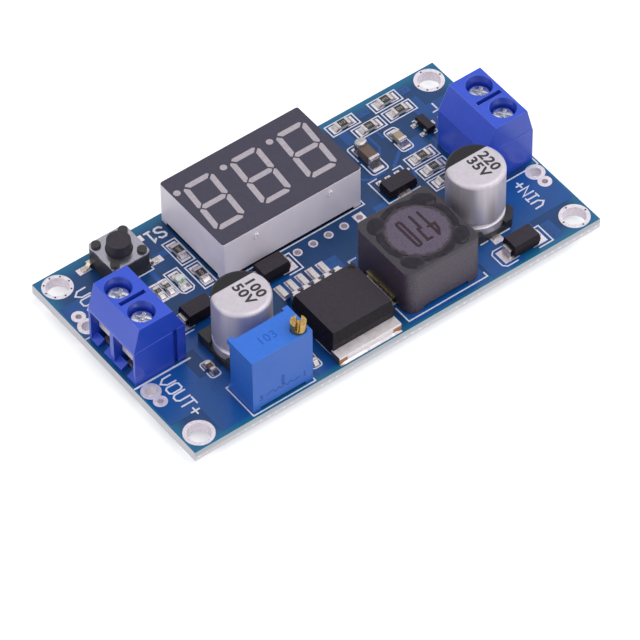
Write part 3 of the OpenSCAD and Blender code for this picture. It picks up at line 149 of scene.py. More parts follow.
def start_clean():
    """Object mode with nothing selected."""
    if bpy.context.mode != "OBJECT":
        bpy.ops.object.mode_set(mode="OBJECT")
    bpy.ops.object.select_all(action="DESELECT")


def choose(*pieces):
    """Selects pieces alone and makes the first of them active."""
    start_clean()
    for piece in pieces:
        piece.select_set(True)
    bpy.context.view_layer.objects.active = pieces[0]


def model(kind, **settings):
    """A new piece in one of Blender's basic shapes."""
    start_clean()
    getattr(bpy.ops.mesh, f"primitive_{kind}_add")(**settings)
    return bpy.context.object


def apply_modifier(piece, kind, **settings):
    """Adds one modifier, sets it and applies it."""
    choose(piece)
    modifier = piece.modifiers.new(kind.title(), kind)
    for key, value in settings.items():
        setattr(modifier, key, value)
    bpy.ops.object.modifier_apply(modifier=modifier.name)


def soften(piece, width):
    """Bevels a piece's sharp edges."""
    apply_modifier(piece, "BEVEL", width=width, segments=2, limit_method="ANGLE")


def edit(piece, kind="VERT", whole=False):
    """Edit mode on one piece, with all of it selected or nothing."""
    choose(piece)
    bpy.ops.object.mode_set(mode="EDIT")
    bpy.ops.mesh.select_mode(type=kind)
    bpy.ops.mesh.select_all(action="SELECT" if whole else "DESELECT")


def pick(piece, test, kind="VERT"):
    """Selects in edit mode the points, edges or faces whose middle passes the test."""
    bpy.ops.object.mode_set(mode="OBJECT")
    mesh = piece.data
    for group in (mesh.vertices, mesh.edges, mesh.polygons):
        group.foreach_set("select", [False] * len(group))
    if kind == "FACE":
        for face in mesh.polygons:
            face.select = test(face.center)
    elif kind == "EDGE":
        for line in mesh.edges:
            a, b = (mesh.vertices[i].co for i in line.vertices)
            line.select = test((a + b) / 2)
    else:
        for point in mesh.vertices:
            point.select = test(point.co)
    bpy.ops.object.mode_set(mode="EDIT")
    bpy.ops.mesh.select_mode(type=kind)


def at(spot, size=(1, 1, 1), turn=0.0, axis="Z"):
    """A matrix that scales a pattern, turns it and moves it to a spot."""
    return Matrix.Translation(spot) @ Matrix.Rotation(turn, 4, axis) @ Matrix.Diagonal((*size, 1))


def place(piece, matrix):
    """Moves a piece and keeps the move in its mesh."""
    piece.matrix_world = matrix
    choose(piece)
    bpy.ops.object.transform_apply(location=True, rotation=True, scale=True)
    return piece


def copy_of(pattern, matrix):
    """A copy of a modelled pattern with a mesh of its own, moved into place."""
    piece = pattern.copy()
    piece.data = pattern.data.copy()
    piece.data.transform(matrix)
    bpy.context.scene.collection.objects.link(piece)
    return piece


def join(name, pieces, flat=False):
    """Joins pieces into one of that name, merges their seams and, unless flat, turns their faces out."""
    choose(*pieces)
    if len(pieces) > 1:
        bpy.ops.object.join()
    piece = bpy.context.object
    piece.name = piece.data.name = name
    edit(piece, whole=True)
    bpy.ops.mesh.remove_doubles(threshold=MERGE)
    if not flat:
        bpy.ops.mesh.normals_make_consistent(inside=False)
    bpy.ops.object.mode_set(mode="OBJECT")
    return piece


def discard(*patterns):
    """Deletes patterns that have been copied."""
    choose(*patterns)
    bpy.ops.object.delete()


def hand_over(piece, material, smooth=None):
    """Gives a finished piece its material and its body."""
    choose(piece)
    if smooth is not None:
        bpy.ops.object.shade_smooth_by_angle(angle=math.radians(smooth))
    piece.data.materials.clear()
    piece.data.materials.append(material)
    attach(piece, "module")


def solids_of(node, test=None):
    """Boxes of a CAD node's separate solids, or of its faces that pass a test, as (low, high) corners."""
    mesh = NODES[node].data
    spots = [tuple(round(c, 7) for c in v.co) for v in mesh.vertices]
    owner = {spot: spot for spot in spots}

    def root(spot):
        while owner[spot] != spot:
            owner[spot] = owner[owner[spot]]
            spot = owner[spot]
        return spot

    faces = [face.vertices for face in mesh.polygons if test is None or test(face)]
    for corners in faces:
        first = root(spots[corners[0]])
        for index in corners[1:]:
            owner[root(spots[index])] = first
    groups = {}
    for spot in {spots[index] for corners in faces for index in corners}:
        groups.setdefault(root(spot), []).append(Vector(spot))
    boxes = [(Vector(map(min, *group)), Vector(map(max, *group))) for group in groups.values()]
    return sorted(boxes, key=lambda box: tuple(box[0]))


def board_holes():
    """Boxes of the holes through the board, without its outer wall."""
    walls = solids_of("board", lambda face: abs(face.normal.z) < 0.1)
    widest_hole = 5 * MM
    return [box for box in walls if box[1].x - box[0].x < widest_hole]


def middle(box):
    """Middle of a box."""
    return (box[0] + box[1]) / 2


def drill(pieces, holes, bevel):
    """Cuts holes through pieces and bevels their edges."""
    bits = []
    for low, high in holes:
        spot = ((low.x + high.x) / 2, (low.y + high.y) / 2, BOARD_TOP / 2)
        bits.append(model("cylinder", vertices=32, radius=(high.x - low.x) / 2, depth=2.5 * BOARD_TOP, location=spot))
    bit = join("drill", bits)
    bpy.ops.object.transform_apply()
    for piece in pieces:
        apply_modifier(piece, "BOOLEAN", operation="DIFFERENCE", object=bit, solver="EXACT")
        soften(piece, bevel)
    discard(bit)


def model_bead():
    """One bead, a unit wide and high, with sloped flanks and a soft crown."""
    piece = model("cube", size=1, location=(0, 0, 0.5))
    bpy.ops.object.transform_apply()
    edit(piece, "FACE")
    pick(piece, lambda m: m.z > 0.9, "FACE")
    bpy.ops.mesh.inset(thickness=0.18, depth=0.12)
    pick(piece, lambda m: m.z > 0.9)
    bpy.ops.transform.resize(value=(0.86, 0.86, 1), center_override=(0, 0, 1))
    apply_modifier(piece, "SUBSURF", levels=2, render_levels=2)
    return piece


# Flat strips and letters

MITRE_LIMIT = 0.45
CAP_TURNS = (0.3, 0.8)
LAYERS, LAYER_STEP = 7, 0.0006 * MM
FONT_HEIGHT = 0.7


def arc(centre, radius, start, end, steps):
    """Points on an arc, with its angles in degrees."""
    turns = [math.radians(start + (end - start) * i / steps) for i in range(steps + 1)]
    return [(centre[0] + radius * math.cos(t), centre[1] + radius * math.sin(t)) for t in turns]


def frame_points(low, high, radius=0.0):
    """Corners of a rectangle, rounded where a radius is given."""
    (x0, y0), (x1, y1) = low, high
    if not radius:
        return [(x0, y0), (x1, y0), (x1, y1), (x0, y1)]
    corners = ((x1 - radius, y0 + radius, -90), (x1 - radius, y1 - radius, 0),
               (x0 + radius, y1 - radius, 90), (x0 + radius, y0 + radius, 180))
    return [p for x, y, turn in corners for p in arc((x, y), radius, turn, turn + 90, 4)]


def strip_sections(points, half, closed):
    """Right and left points of a strip at each of its points, mitred at corners and rounded at free ends."""
    path = [Vector(p) for p in points]
    last = len(path) - 1
    sections = []
    for i, point in enumerate(path):
        before = point - path[i - 1] if closed or i else path[1] - point
        after = path[(i + 1) % len(path)] - point if closed or i < last else before
        side_in, side_out = before.normalized().orthogonal(), after.normalized().orthogonal()
        side = (side_in + side_out).normalized()
        side *= half / max(side.dot(side_in), MITRE_LIMIT)
        sections.append((point - side, point + side))
    if closed:
        return sections + sections[:1]
    caps = []
    for tip, inner in ((path[0], path[1]), (path[last], path[last - 1])):
        out = (tip - inner).normalized()
        side = out.orthogonal()
        caps.append([(tip + out * half * math.cos(t), side * half * math.sin(t)) for t in CAP_TURNS])
    head = [(p + s, p - s) for p, s in caps[0]]
    tail = [(p - s, p + s) for p, s in reversed(caps[1])]
    return head + sections + tail


def strip(points, width, height, closed=False):
    """A flat strip along points in millimetres, at a height in metres."""
    sections = strip_sections(points, width / MM / 2, closed)
    piece = model("grid", x_subdivisions=len(sections) - 1, y_subdivisions=1, size=1)
    grid = sorted(piece.data.vertices, key=lambda v: (round(v.co.x, 5), v.co.y))
    if len(grid) != 2 * len(sections):
        raise RuntimeError("a strip's grid doesn't match its sections")
    for section, pair in zip(sections, zip(grid[::2], grid[1::2])):
        for point, vertex in zip(section, pair):
            vertex.co = (point.x * MM, point.y * MM, height)
    return piece


def plate(points, height):
    """A flat plate at a height in metres: its corners in millimetres, or only two opposite ones."""
    if len(points) == 2:
        points = frame_points(*points)
    piece = model("circle", vertices=len(points), radius=1, fill_type="NGON")
    for vertex, (x, y) in zip(piece.data.vertices, points):
        vertex.co = (x * MM, y * MM, height)
    piece.data.update()
    if piece.data.polygons[0].normal.z < 0:
        edit(piece, "FACE", whole=True)
        bpy.ops.mesh.flip_normals()
        bpy.ops.object.mode_set(mode="OBJECT")
    return piece


def print_of(name, strips, thickness):
    """Joins flat strips, each lying a hair above the one before, and gives them the thickness of ink."""
    for i, each in enumerate(strips):
        each.location.z = i % LAYERS * LAYER_STEP
    piece = join(name, strips, flat=True)
    apply_modifier(piece, "SOLIDIFY", thickness=thickness, offset=1.0)
    return piece


LETTERS = {
    "V": [[(0, 1), (0.01, 0.36), (0.3, 0), (0.61, 0.34), (0.62, 1)]],
    "O": [[(0.12, 0), (0.5, 0), (0.62, 0.15), (0.62, 0.85), (0.5, 1), (0.12, 1), (0, 0.85), (0, 0.15), (0.12, 0)]],
    "U": [[(0, 1), (0, 0.2), (0.16, 0), (0.46, 0), (0.62, 0.2), (0.62, 1)]],
    "T": [[(0, 1), (0.62, 1)], [(0.31, 1), (0.31, 0)]],
    "I": [[(0.31, 0), (0.31, 1)], [(0.12, 0), (0.5, 0)], [(0.12, 1), (0.5, 1)]],
    "N": [[(0, 0), (0, 1), (0.62, 0), (0.62, 1)]],
    "+": [[(0.02, 0.5), (0.6, 0.5)], [(0.31, 0.2), (0.31, 0.8)]],
    "-": [[(0.02, 0.5), (0.6, 0.5)]],
    "S": [[(0.6, 0.82), (0.48, 0.97), (0.16, 0.97), (0.03, 0.84), (0.05, 0.64), (0.2, 0.54),
           (0.44, 0.46), (0.58, 0.34), (0.58, 0.14), (0.45, 0.03), (0.15, 0.03), (0.0, 0.2)]],
    "1": [[(0.08, 0.8), (0.31, 1), (0.31, 0)], [(0.1, 0), (0.52, 0)]],
    "2": [[(0.04, 0.78), (0.1, 0.94), (0.3, 1), (0.5, 0.93), (0.55, 0.72), (0.42, 0.45), (0.02, 0), (0.58, 0)]],
    "3": [[(0.03, 0.9), (0.3, 1), (0.54, 0.82), (0.46, 0.6), (0.22, 0.53), (0.48, 0.46), (0.58, 0.2),
           (0.32, 0), (0.02, 0.1)]],
}


def lettering(words, start, height, turn, width, level, step=0.8):
    """Strips for a word of stroke letters: start in millimetres, turn in degrees, level in metres."""
    cos, sin = math.cos(math.radians(turn)), math.sin(math.radians(turn))
    size = height / MM
    made = []
    for i, letter in enumerate(words):
        for stroke in LETTERS[letter]:
            run = [((x + i * step) * size, y * size) for x, y in stroke]
            points = [(start[0] + x * cos - y * sin, start[1] + x * sin + y * cos) for x, y in run]
            ring = stroke[0] == stroke[-1]
            made.append(strip(points[:-1] if ring else points, width, level, ring))
    return made


def figures(words, height, bold, thickness):
    """Figures from the built-in font as a mesh, centred, facing up."""
    start_clean()
    bpy.ops.object.text_add(location=(0, 0, 0))
    text = bpy.context.object.data
    text.body = words
    text.align_x = text.align_y = "CENTER"
    text.size = height / FONT_HEIGHT
    text.space_character = 1.08
    text.offset = bold
    text.extrude = thickness / 2
    text.resolution_u = 3
    bpy.ops.object.convert(target="MESH")
    return bpy.context.object


# Materials

class Value:
    """A number that varies over a material, open to sums with other values and with numbers."""

    def __init__(self, finish, socket):
        self.finish, self.socket = finish, socket

    def __add__(self, other):
        return self.finish.math("ADD", self, other)

    def __sub__(self, other):
        return self.finish.math("SUBTRACT", self, other)

    def __rsub__(self, other):
        return self.finish.math("SUBTRACT", other, self)

    def __mul__(self, other):
        return self.finish.math("MULTIPLY", self, other)

    def __abs__(self):
        return self.finish.math("ABSOLUTE", self)

    def span(self, low, high, start=0.0, end=1.0):
        """This value mapped from low..high to start..end, smoothly and clamped."""
        ends = {"From Min": low, "From Max": high, "To Min": start, "To Max": end}
        return self.finish.value("ShaderNodeMapRange", {"Value": self} | ends, interpolation_type="SMOOTHSTEP")

    def below(self, low, high):
        """1 where this value is under low, and 0 over high."""
        return self.span(low, high, 1.0, 0.0)

    def between(self, start, end):
        """A number that runs from start, where this value is 0, to end, where it is 1."""
        return self.span(0.0, 1.0, start, end)

    def spread(self, start=0.0, end=1.0):
        """A noise stretched from start to end over the range where most of it lies."""
        return self.span(0.3, 0.7, start, end)

    def mix(self, a, b):
        """A colour that runs from a, where this value is 0, to b, where it is 1."""
        return self.finish.value("ShaderNodeMix", {0: self, 6: a, 7: b}, 2, data_type="RGBA")


class Finish:
    """A material being mixed. Its calls take lengths in millimetres, and its axes are in metres."""

    def __init__(self, name, base, metallic=0.0, coat=0.0, specular=0.5):
        self.material = bpy.data.materials.new(name)
        self.material.use_nodes = True
        self.tree = self.material.node_tree
        self.shader = self.tree.nodes["Principled BSDF"]
        self.base, self.specular = tuple(base), specular
        self.set("Base Color", self.base)
        self.set("Metallic", metallic)
        self.set("Coat Weight", coat)
        self.set("Specular IOR Level", specular)
        self.spot = self.add("ShaderNodeTexCoord").outputs

    def add(self, kind, inputs=None, **settings):
        """Adds a node, sets it and feeds its inputs."""
        node = self.tree.nodes.new(kind)
        for key, value in settings.items():
            setattr(node, key, value)
        for key, value in (inputs or {}).items():
            self.feed(node.inputs[key], value)
        return node

    def value(self, kind, inputs, output=0, **settings):
        """One output of a new node."""
        return Value(self, self.add(kind, inputs, **settings).outputs[output])

    def feed(self, socket, value):
        """Links a socket, or sets its number or colour."""
        source = value.socket if isinstance(value, Value) else value
        if isinstance(source, bpy.types.NodeSocket):
            self.tree.links.new(source, socket)
        elif socket.type == "RGBA":
            socket.default_value = (*source, 1.0)
        else:
            socket.default_value = source

    def set(self, name, value):
        """Feeds one socket of the shader."""
        self.feed(self.shader.inputs[name], value)

    def math(self, operation, a, b=0.0):
        """One step of arithmetic."""
        return self.value("ShaderNodeMath", {0: a, 1: b}, operation=operation)

    def shade(self, factor):
        """The base colour times a factor."""
        return tuple(min(c * factor, 1.0) for c in self.base)

    def grain(self, size, detail=3.0, stretch=(1, 1, 1)):
        """Noise whose spots are about size across."""
        mapped = self.add("ShaderNodeMapping", {"Vector": self.spot["Object"], "Scale": stretch}).outputs[0]
        return self.value("ShaderNodeTexNoise", {"Vector": mapped, "Scale": 1 / (size * MM), "Detail": detail})

    def axes(self):
        """Object coordinates, one by one."""
        parts = self.add("ShaderNodeSeparateXYZ", {0: self.spot["Object"]})
        return [Value(self, socket) for socket in parts.outputs]

    def tilt(self, axis):
        """How far a face looks along an axis, from -1 to 1."""
        return self.value("ShaderNodeSeparateXYZ", {0: self.spot["Normal"]}, axis)

    def facing(self, axis=2):
        """How far a face looks along an axis, either way, from 0 to 1."""
        return abs(self.tilt(axis))

    def rounded(self, radius):
        """Normals with the edges rounded."""
        return self.add("ShaderNodeBevel", {"Radius": radius * MM}, samples=4).outputs[0]

    def edges(self, radius):
        """A mask that is 1 along sharp edges."""
        normals = {0: self.rounded(radius), 1: self.add("ShaderNodeNewGeometry").outputs["True Normal"]}
        return self.value("ShaderNodeVectorMath", normals, "Value", operation="DOT_PRODUCT").span(0.97, 0.8)

    def done(self, tone, rough, height, depth, edge=0.06):
        """The material, with its colour, roughness and a bump of that depth on softened edges."""
        self.set("Base Color", tone)
        self.set("Roughness", rough)
        inputs = {"Height": height, "Distance": depth * MM, "Normal": self.rounded(edge)}
        self.set("Normal", self.value("ShaderNodeBump", inputs))
        return self.material

    def mottle(self, size, dark, light, rough, depth, edge=0.06, wear=None, stretch=(1, 1, 1), near=(), sides=1.0):
        """The material with colour, roughness and bump from one grain.

        A wear colour shows along the edges. near holds (axis, factor) pairs that darken, as painted shade, the faces
        which look against an axis, and sides darkens the colour and sheen of all the upright ones as painted shade.
        """
        grain = self.grain(size, stretch=stretch)
        tone = grain.spread().mix(self.shade(dark), self.shade(light))
        if wear:
            rub = self.edges(edge * 1.6) * self.grain(size * 6).span(0.35, 0.65)
            tone = rub.mix(tone, wear)
        # Painted shade: faces that look against each listed axis get a darker copy of the colour.
        for axis, factor in near:
            tone = self.tilt(axis).span(-0.35, -0.85).mix(tone, self.shade(factor))
        # Painted shade: upright faces get a darker colour and a weaker sheen than the faces that look up.
        if sides != 1.0:
            up = self.facing().span(0.5, 0.9)
            tone = up.mix(self.shade(sides), tone)
            self.set("Specular IOR Level", up.between(self.specular * sides, self.specular))
        return self.done(tone, self.grain(size * 4).span(0.25, 0.75, *rough), grain, depth, edge)


def board_finish(colours):
    """Blue lacquer, clear at the edges, on a pale glass laminate."""
    finish = Finish("board_lacquer", colours.bare_mask, specular=0.4)
    x, y, z = finish.axes()
    run = finish.math("MINIMUM", BOARD_HIGH.x - abs(x), BOARD_HIGH.y - abs(y))
    wander = (finish.grain(4) - 0.5) * (0.6 * MM)
    clear = (run + wander).below(-0.2 * MM, 2.4 * MM)
    mask = finish.grain(7).spread().mix(finish.shade(0.85), finish.shade(1.2))
    mask = clear.mix(mask, colours.edge_mask)
    weave = finish.grain(0.5, 4.0, (0.4, 0.4, 6.0))
    cut = weave.mix([c * 0.8 for c in colours.laminate], colours.laminate)
    long_side = finish.facing(1).span(0.4, 0.6)
    upper = long_side * z.span(0.45 * MM, 1.1 * MM)
    cut = upper.mix(cut, weave.mix((0.4, 0.45, 0.48), (0.62, 0.66, 0.72)))
    bundle = finish.math("PINGPONG", x, 0.61 * MM).span(0.37 * MM, 0.46 * MM)
    bundle *= abs(z - 0.5 * MM).below(0.08 * MM, 0.18 * MM)
    bundle *= long_side * finish.grain(9).span(0.42, 0.55)
    cut = (bundle * 0.8).mix(cut, (0.99, 0.98, 0.99))
    up = finish.facing().span(0.4, 0.6)
    return finish.done(up.mix(cut, mask), up.between(0.75, 0.3), weave, 0.01, 0.05)


def can_finish(name, node, colours):
    """Satin sleeve with a black mark over one side of the top."""
    satin = 0.55
    finish = Finish(name, colours.can, metallic=satin, specular=0.25)
    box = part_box(node)
    y, z = finish.axes()[1:]
    top = z.span(box[1].z - 0.75 * MM, box[1].z - 0.6 * MM)
    mark = top * (y - middle(box).y).span(1.78 * MM, 1.84 * MM)
    brushed = finish.grain(0.5, 4.0, (1.0, 1.0, 0.06))
    pits = finish.grain(0.25, 2.0).span(0.68, 0.74)
    tone = brushed.mix(finish.shade(0.84), finish.shade(1.08))
    tone = (pits * 0.25).mix(tone, finish.shade(0.6))
    finish.set("Metallic", mark.between(satin, 0.0))
    return finish.done(mark.mix(tone, (0.014, 0.013, 0.016)), top.between(0.38, 0.48), brushed, 0.002, 0.12)


def resistor_finish():
    """Black glaze on a pale ceramic chip."""
    finish = Finish("chip_glaze", (0.016, 0.015, 0.017))
    up = finish.facing().span(0.4, 0.6)
    grain = finish.grain(0.1)
    glaze = grain.mix((0.012, 0.011, 0.012), (0.032, 0.03, 0.033))
    body = grain.mix((0.42, 0.4, 0.37), (0.62, 0.6, 0.56))
    return finish.done(up.mix(body, glaze), up.between(0.7, 0.28), grain, 0.003, 0.03)


def ceramic_finish():
    """Fired ceramic, brown on the small and large chips and tan on the middle one."""
    finish = Finish("fired_ceramic", (0.3, 0.2, 0.12))
    tan = max(solids_of("ceramic_bodies"), key=lambda box: middle(box).x)
    is_tan = finish.axes()[0].span(tan[0].x - 1.5 * MM, tan[0].x - 1.4 * MM)
    grain = finish.grain(0.12)
    brown = grain.mix((0.1, 0.064, 0.048), (0.18, 0.122, 0.095))
    pale = grain.mix((0.34, 0.28, 0.2), (0.48, 0.4, 0.29))
    return finish.done(is_tan.mix(brown, pale), grain.spread(0.4, 0.6), grain, 0.004, 0.05)


def indicator_finish():
    """Clear lens over a pale base with two green marks."""
    finish = Finish("clear_lens", (0.72, 0.78, 0.68), coat=0.4)
    run = abs(finish.axes()[1] - middle(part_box("indicator_body")).y)
    green = abs(run - 0.42 * MM).below(0.1 * MM, 0.18 * MM) * finish.grain(0.34).span(0.5, 0.6)
    cloud = finish.grain(0.3)
    pale = cloud.mix((0.62, 0.66, 0.58), (0.82, 0.86, 0.8))
    return finish.done(green.mix(pale, (0.1, 0.44, 0.34)), cloud.spread(0.12, 0.28), cloud, 0.005, 0.06)


def tab_finish(colours):
    """Tinned heat tab, darker and less metallic on its two sides, with bare copper at both ends of its sheared front.
    """
    tinned = 0.5
    finish = Finish("tinned_tab", colours.tin, metallic=tinned)
    low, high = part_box("regulator_tab")
    x, y, z = finish.axes()
    half = (high.x - low.x) / 2
    grain = finish.grain(0.6, 5.0)
    run = abs(x - (low.x + high.x) / 2) + grain * (1.4 * MM)
    bare = run.span(half - 0.75 * MM, half - 0.5 * MM)
    bare *= y.below(low.y + 0.02 * MM, low.y + 0.1 * MM) * z.below(high.z - 0.36 * MM, high.z - 0.26 * MM)
    tone = bare.mix(grain.mix(finish.shade(1.15), finish.shade(1.55)), (0.42, 0.19, 0.08))
    # Darker and less metallic on the two upright sides that look along x.
    dark_sides = finish.facing(0).span(0.6, 0.8)
    tone = dark_sides.mix(tone, grain.mix((0.03, 0.027, 0.03), (0.12, 0.11, 0.12)))
    finish.set("Metallic", dark_sides.between(tinned, 0.2))
    return finish.done(tone, finish.grain(0.9).spread(0.42, 0.6), finish.grain(0.8, 2.0), 0.015, 0.08)


def ferrite_finish(colours):
    """Pressed ferrite: near black, with a strong sheen; its top is painted much darker than its sides as painted
    shade.
    """
    finish = Finish("shield_ferrite", colours.ferrite, specular=0.72)
    grain = finish.grain(0.22)
    side = grain.spread().mix(finish.shade(0.3), finish.shade(1.8))
    # Painted shade: the top gets its own, much darker tone than the sides.
    top = grain.spread().mix((0.006, 0.004, 0.01), (0.012, 0.008, 0.018))
    tone = finish.facing().span(0.5, 0.9).mix(side, top)
    worn = finish.edges(0.3) * finish.grain(1.4).span(0.35, 0.65) * 0.6
    return finish.done(worn.mix(tone, (0.05, 0.043, 0.05)), grain.spread(0.45, 0.62), grain, 0.02, 0.16)


def core_finish():
    """Ground ferrite disc, paler than the shield, speckled, and with a stain at its rim."""
    finish = Finish("ground_ferrite", (0.124, 0.1, 0.15), specular=0.3)
    low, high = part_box("inductor_core")
    spot, half = middle((low, high)), (high.x - low.x) / 2
    x, y = finish.axes()[:2]
    reach = finish.value("ShaderNodeCombineXYZ", {0: x - spot.x, 1: y - spot.y})
    radius = finish.value("ShaderNodeVectorMath", {0: reach}, "Value", operation="LENGTH")
    ragged = radius + finish.grain(0.7, 4.0) * (1.1 * MM)
    rim = ragged.span(half - 0.1 * MM, half + 0.35 * MM)
    speck = finish.grain(0.14, 4.0)
    tone = speck.span(0.32, 0.68).mix(finish.shade(0.7), finish.shade(1.2))
    return finish.done(rim.mix(tone, (0.05, 0.037, 0.047)), speck.spread(0.5, 0.75), speck, 0.012)


def metal(name, base, *grain, **more):
    """A bare metal with a mottled surface."""
    return Finish(name, base, metallic=1.0).mottle(*grain, **more)


def plain(name, base, *grain, **more):
    """A plastic, ink or ceramic with a mottled surface."""
    return Finish(name, base).mottle(*grain, **more)


def slot_finishes(colours):
    """One material for each slot of the record, apart from the cans'."""
    return {
        "board": board_finish(colours),
        "tin": metal("tin", colours.tin, 0.3, 0.86, 1.08, (0.24, 0.42), 0.004, 0.03),
        "solder": metal("solder", (0.48, 0.46, 0.47), 0.5, 0.8, 1.12, (0.24, 0.4), 0.006),
        # Painted shade: near=((1, 0.8),) darkens the terminal blocks' faces that look towards -y.
        "terminal_plastic": Finish("block_plastic", colours.block, coat=0.08).mottle(
            1.2, 0.97, 1.03, (0.28, 0.4), 0.003, 0.1, wear=(0.36, 0.43, 0.92), near=((1, 0.8),)),
        "plated_steel": metal("plated_steel", (0.6, 0.58, 0.56), 0.2, 0.8, 1.08, (0.22, 0.36), 0.003,
                              stretch=(0.2, 1, 1)),
        "screw_steel": metal("screw_steel", (0.74, 0.75, 0.8), 0.6, 0.84, 1.08, (0.12, 0.26), 0.007, 0.12),
        "display_white": Finish("display_moulding", colours.display_side, specular=0.9).mottle(
            2.5, 0.985, 1.02, (0.36, 0.5), 0.002, 0.12, wear=(0.93, 0.9, 0.95)),
        "display_dark": plain("display_film", colours.display_face, 0.25, 0.93, 1.08, (0.42, 0.56), 0.003, 0.05),
        "display_light": plain("segment_resin", colours.segment, 0.4, 0.93, 1.07, (0.32, 0.46), 0.003, 0.03),
        "circuit_green": plain("green_mask", (0.02, 0.16, 0.06), 1, 0.85, 1.15, (0.35, 0.5), 0.003),
        # Painted shade: sides=0.45 darkens the upright faces of chips and diodes below their tops.
        "moulding": Finish("chip_moulding", colours.moulding, specular=0.34).mottle(
            0.1, 0.7, 1.4, (0.48, 0.66), 0.008, 0.06, wear=(0.085, 0.08, 0.09), sides=0.45),
        "black_plastic": plain("black_plastic", (0.019, 0.018, 0.021), 0.3, 0.75, 1.35, (0.36, 0.54), 0.006, 0.07,
                               wear=(0.07, 0.068, 0.075)),
        "ferrite": ferrite_finish(colours),
        "copper_wire": Finish("enamelled_wire", (0.42, 0.16, 0.05), metallic=0.8).mottle(
            0.4, 0.8, 1.15, (0.2, 0.35), 0.004),
        "resin": Finish("cast_resin", (0.016, 0.011, 0.015), specular=0.28).mottle(0.9, 0.7, 1.4, (0.2, 0.4), 0.05),
        "terminal_gold": metal("gold_terminal", (0.62, 0.47, 0.22), 0.4, 0.75, 1.15, (0.18, 0.36), 0.006),
        # Painted shade: near darkens the trimmer's faces that look towards -x and towards -y.
        "trimmer_plastic": plain("trimmer_plastic", colours.trimmer, 0.7, 0.96, 1.04, (0.36, 0.48), 0.004, 0.09,
                                 wear=(0.12, 0.32, 0.8), near=((0, 0.68), (1, 0.76))),
        "brass": metal("brass", (0.52, 0.34, 0.115), 0.25, 0.68, 1.12, (0.18, 0.36), 0.008, 0.05),
        "nylon": plain("nylon", (0.74, 0.7, 0.6), 0.6, 0.92, 1.06, (0.35, 0.5), 0.004),
        "ceramic_white": plain("white_ceramic", (0.76, 0.75, 0.72), 0.3, 0.92, 1.05, (0.5, 0.7), 0.006),
        "resistor": resistor_finish(),
        "ceramic": ceramic_finish(),
        "indicator": indicator_finish(),
    }


def node_finishes(colours):
    """Materials of the nodes that differ from the rest of their slot."""
    clamp = Finish("clamp_steel", (0.74, 0.67, 0.64), metallic=0.4).mottle(
        0.4, 0.86, 1.06, (0.45, 0.6), 0.004, 0.05)
    return {name: clamp for name in NODES if "_leaf_" in name} | {
        "output_capacitor_can": can_finish("output_can", "output_capacitor_can", colours),
        "input_capacitor_can": can_finish("input_can", "input_capacitor_can", colours),
        "regulator_tab": tab_finish(colours),
        "solder_pads": Finish("pad_tin", (0.83, 0.765, 0.83), metallic=0.5).mottle(
            0.3, 0.88, 1.06, (0.3, 0.48), 0.004, 0.03),
        "inductor_core": core_finish(),
        "switch_leads": metal("warm_tin", (0.72, 0.63, 0.5), 0.3, 0.75, 1.12, (0.18, 0.34), 0.006, 0.04),
        "switch_cover": metal("pressed_steel", (0.38, 0.37, 0.43), 0.3, 0.92, 1.06, (0.18, 0.28), 0.0015, 0.08),
        "switch_plunger": Finish("plunger_rubber", (0.027, 0.023, 0.033), specular=0.36).mottle(
            0.15, 0.75, 1.3, (0.5, 0.68), 0.01, 0.1, wear=(0.09, 0.088, 0.1)),
    }


def finish_of(node):
    """The material that a CAD node wears."""
    return NODES[node].material_slots[0].material


def white_ink(colours):
    """Screen ink, a little uneven at its edges, made by the first piece that asks for it."""
    return bpy.data.materials.get("white_ink") or plain(
        "white_ink", colours.ink, 0.3, 0.9, 1.05, (0.5, 0.65), 0.002, 0.01)


class ConverterPiece:
    """Settings that every operator of the module reads"""
    bl_options = {"REGISTER", "UNDO"}

    @property
    def colours(self):
        return bpy.context.scene.converter_colours

    @property
    def prints(self):
        return bpy.context.scene.converter_prints


class CONVERTER_OT_finishes(ConverterPiece, bpy.types.Operator):
    """Give every CAD node its material"""
    bl_idname = "converter.finishes"
    bl_label = "Finishes"

    def execute(self, context):
        slots, own = slot_finishes(self.colours), node_finishes(self.colours)
        slot_of = {part["node"]: part["material_slot"] for part in frame["record"]["subparts"]}
        for name, node in NODES.items():
            material = own.get(name) or slots[slot_of[name]]
            if not node.material_slots:
                node.data.materials.append(material)
            for each in node.material_slots:
                each.material = material
        return {"FINISHED"}


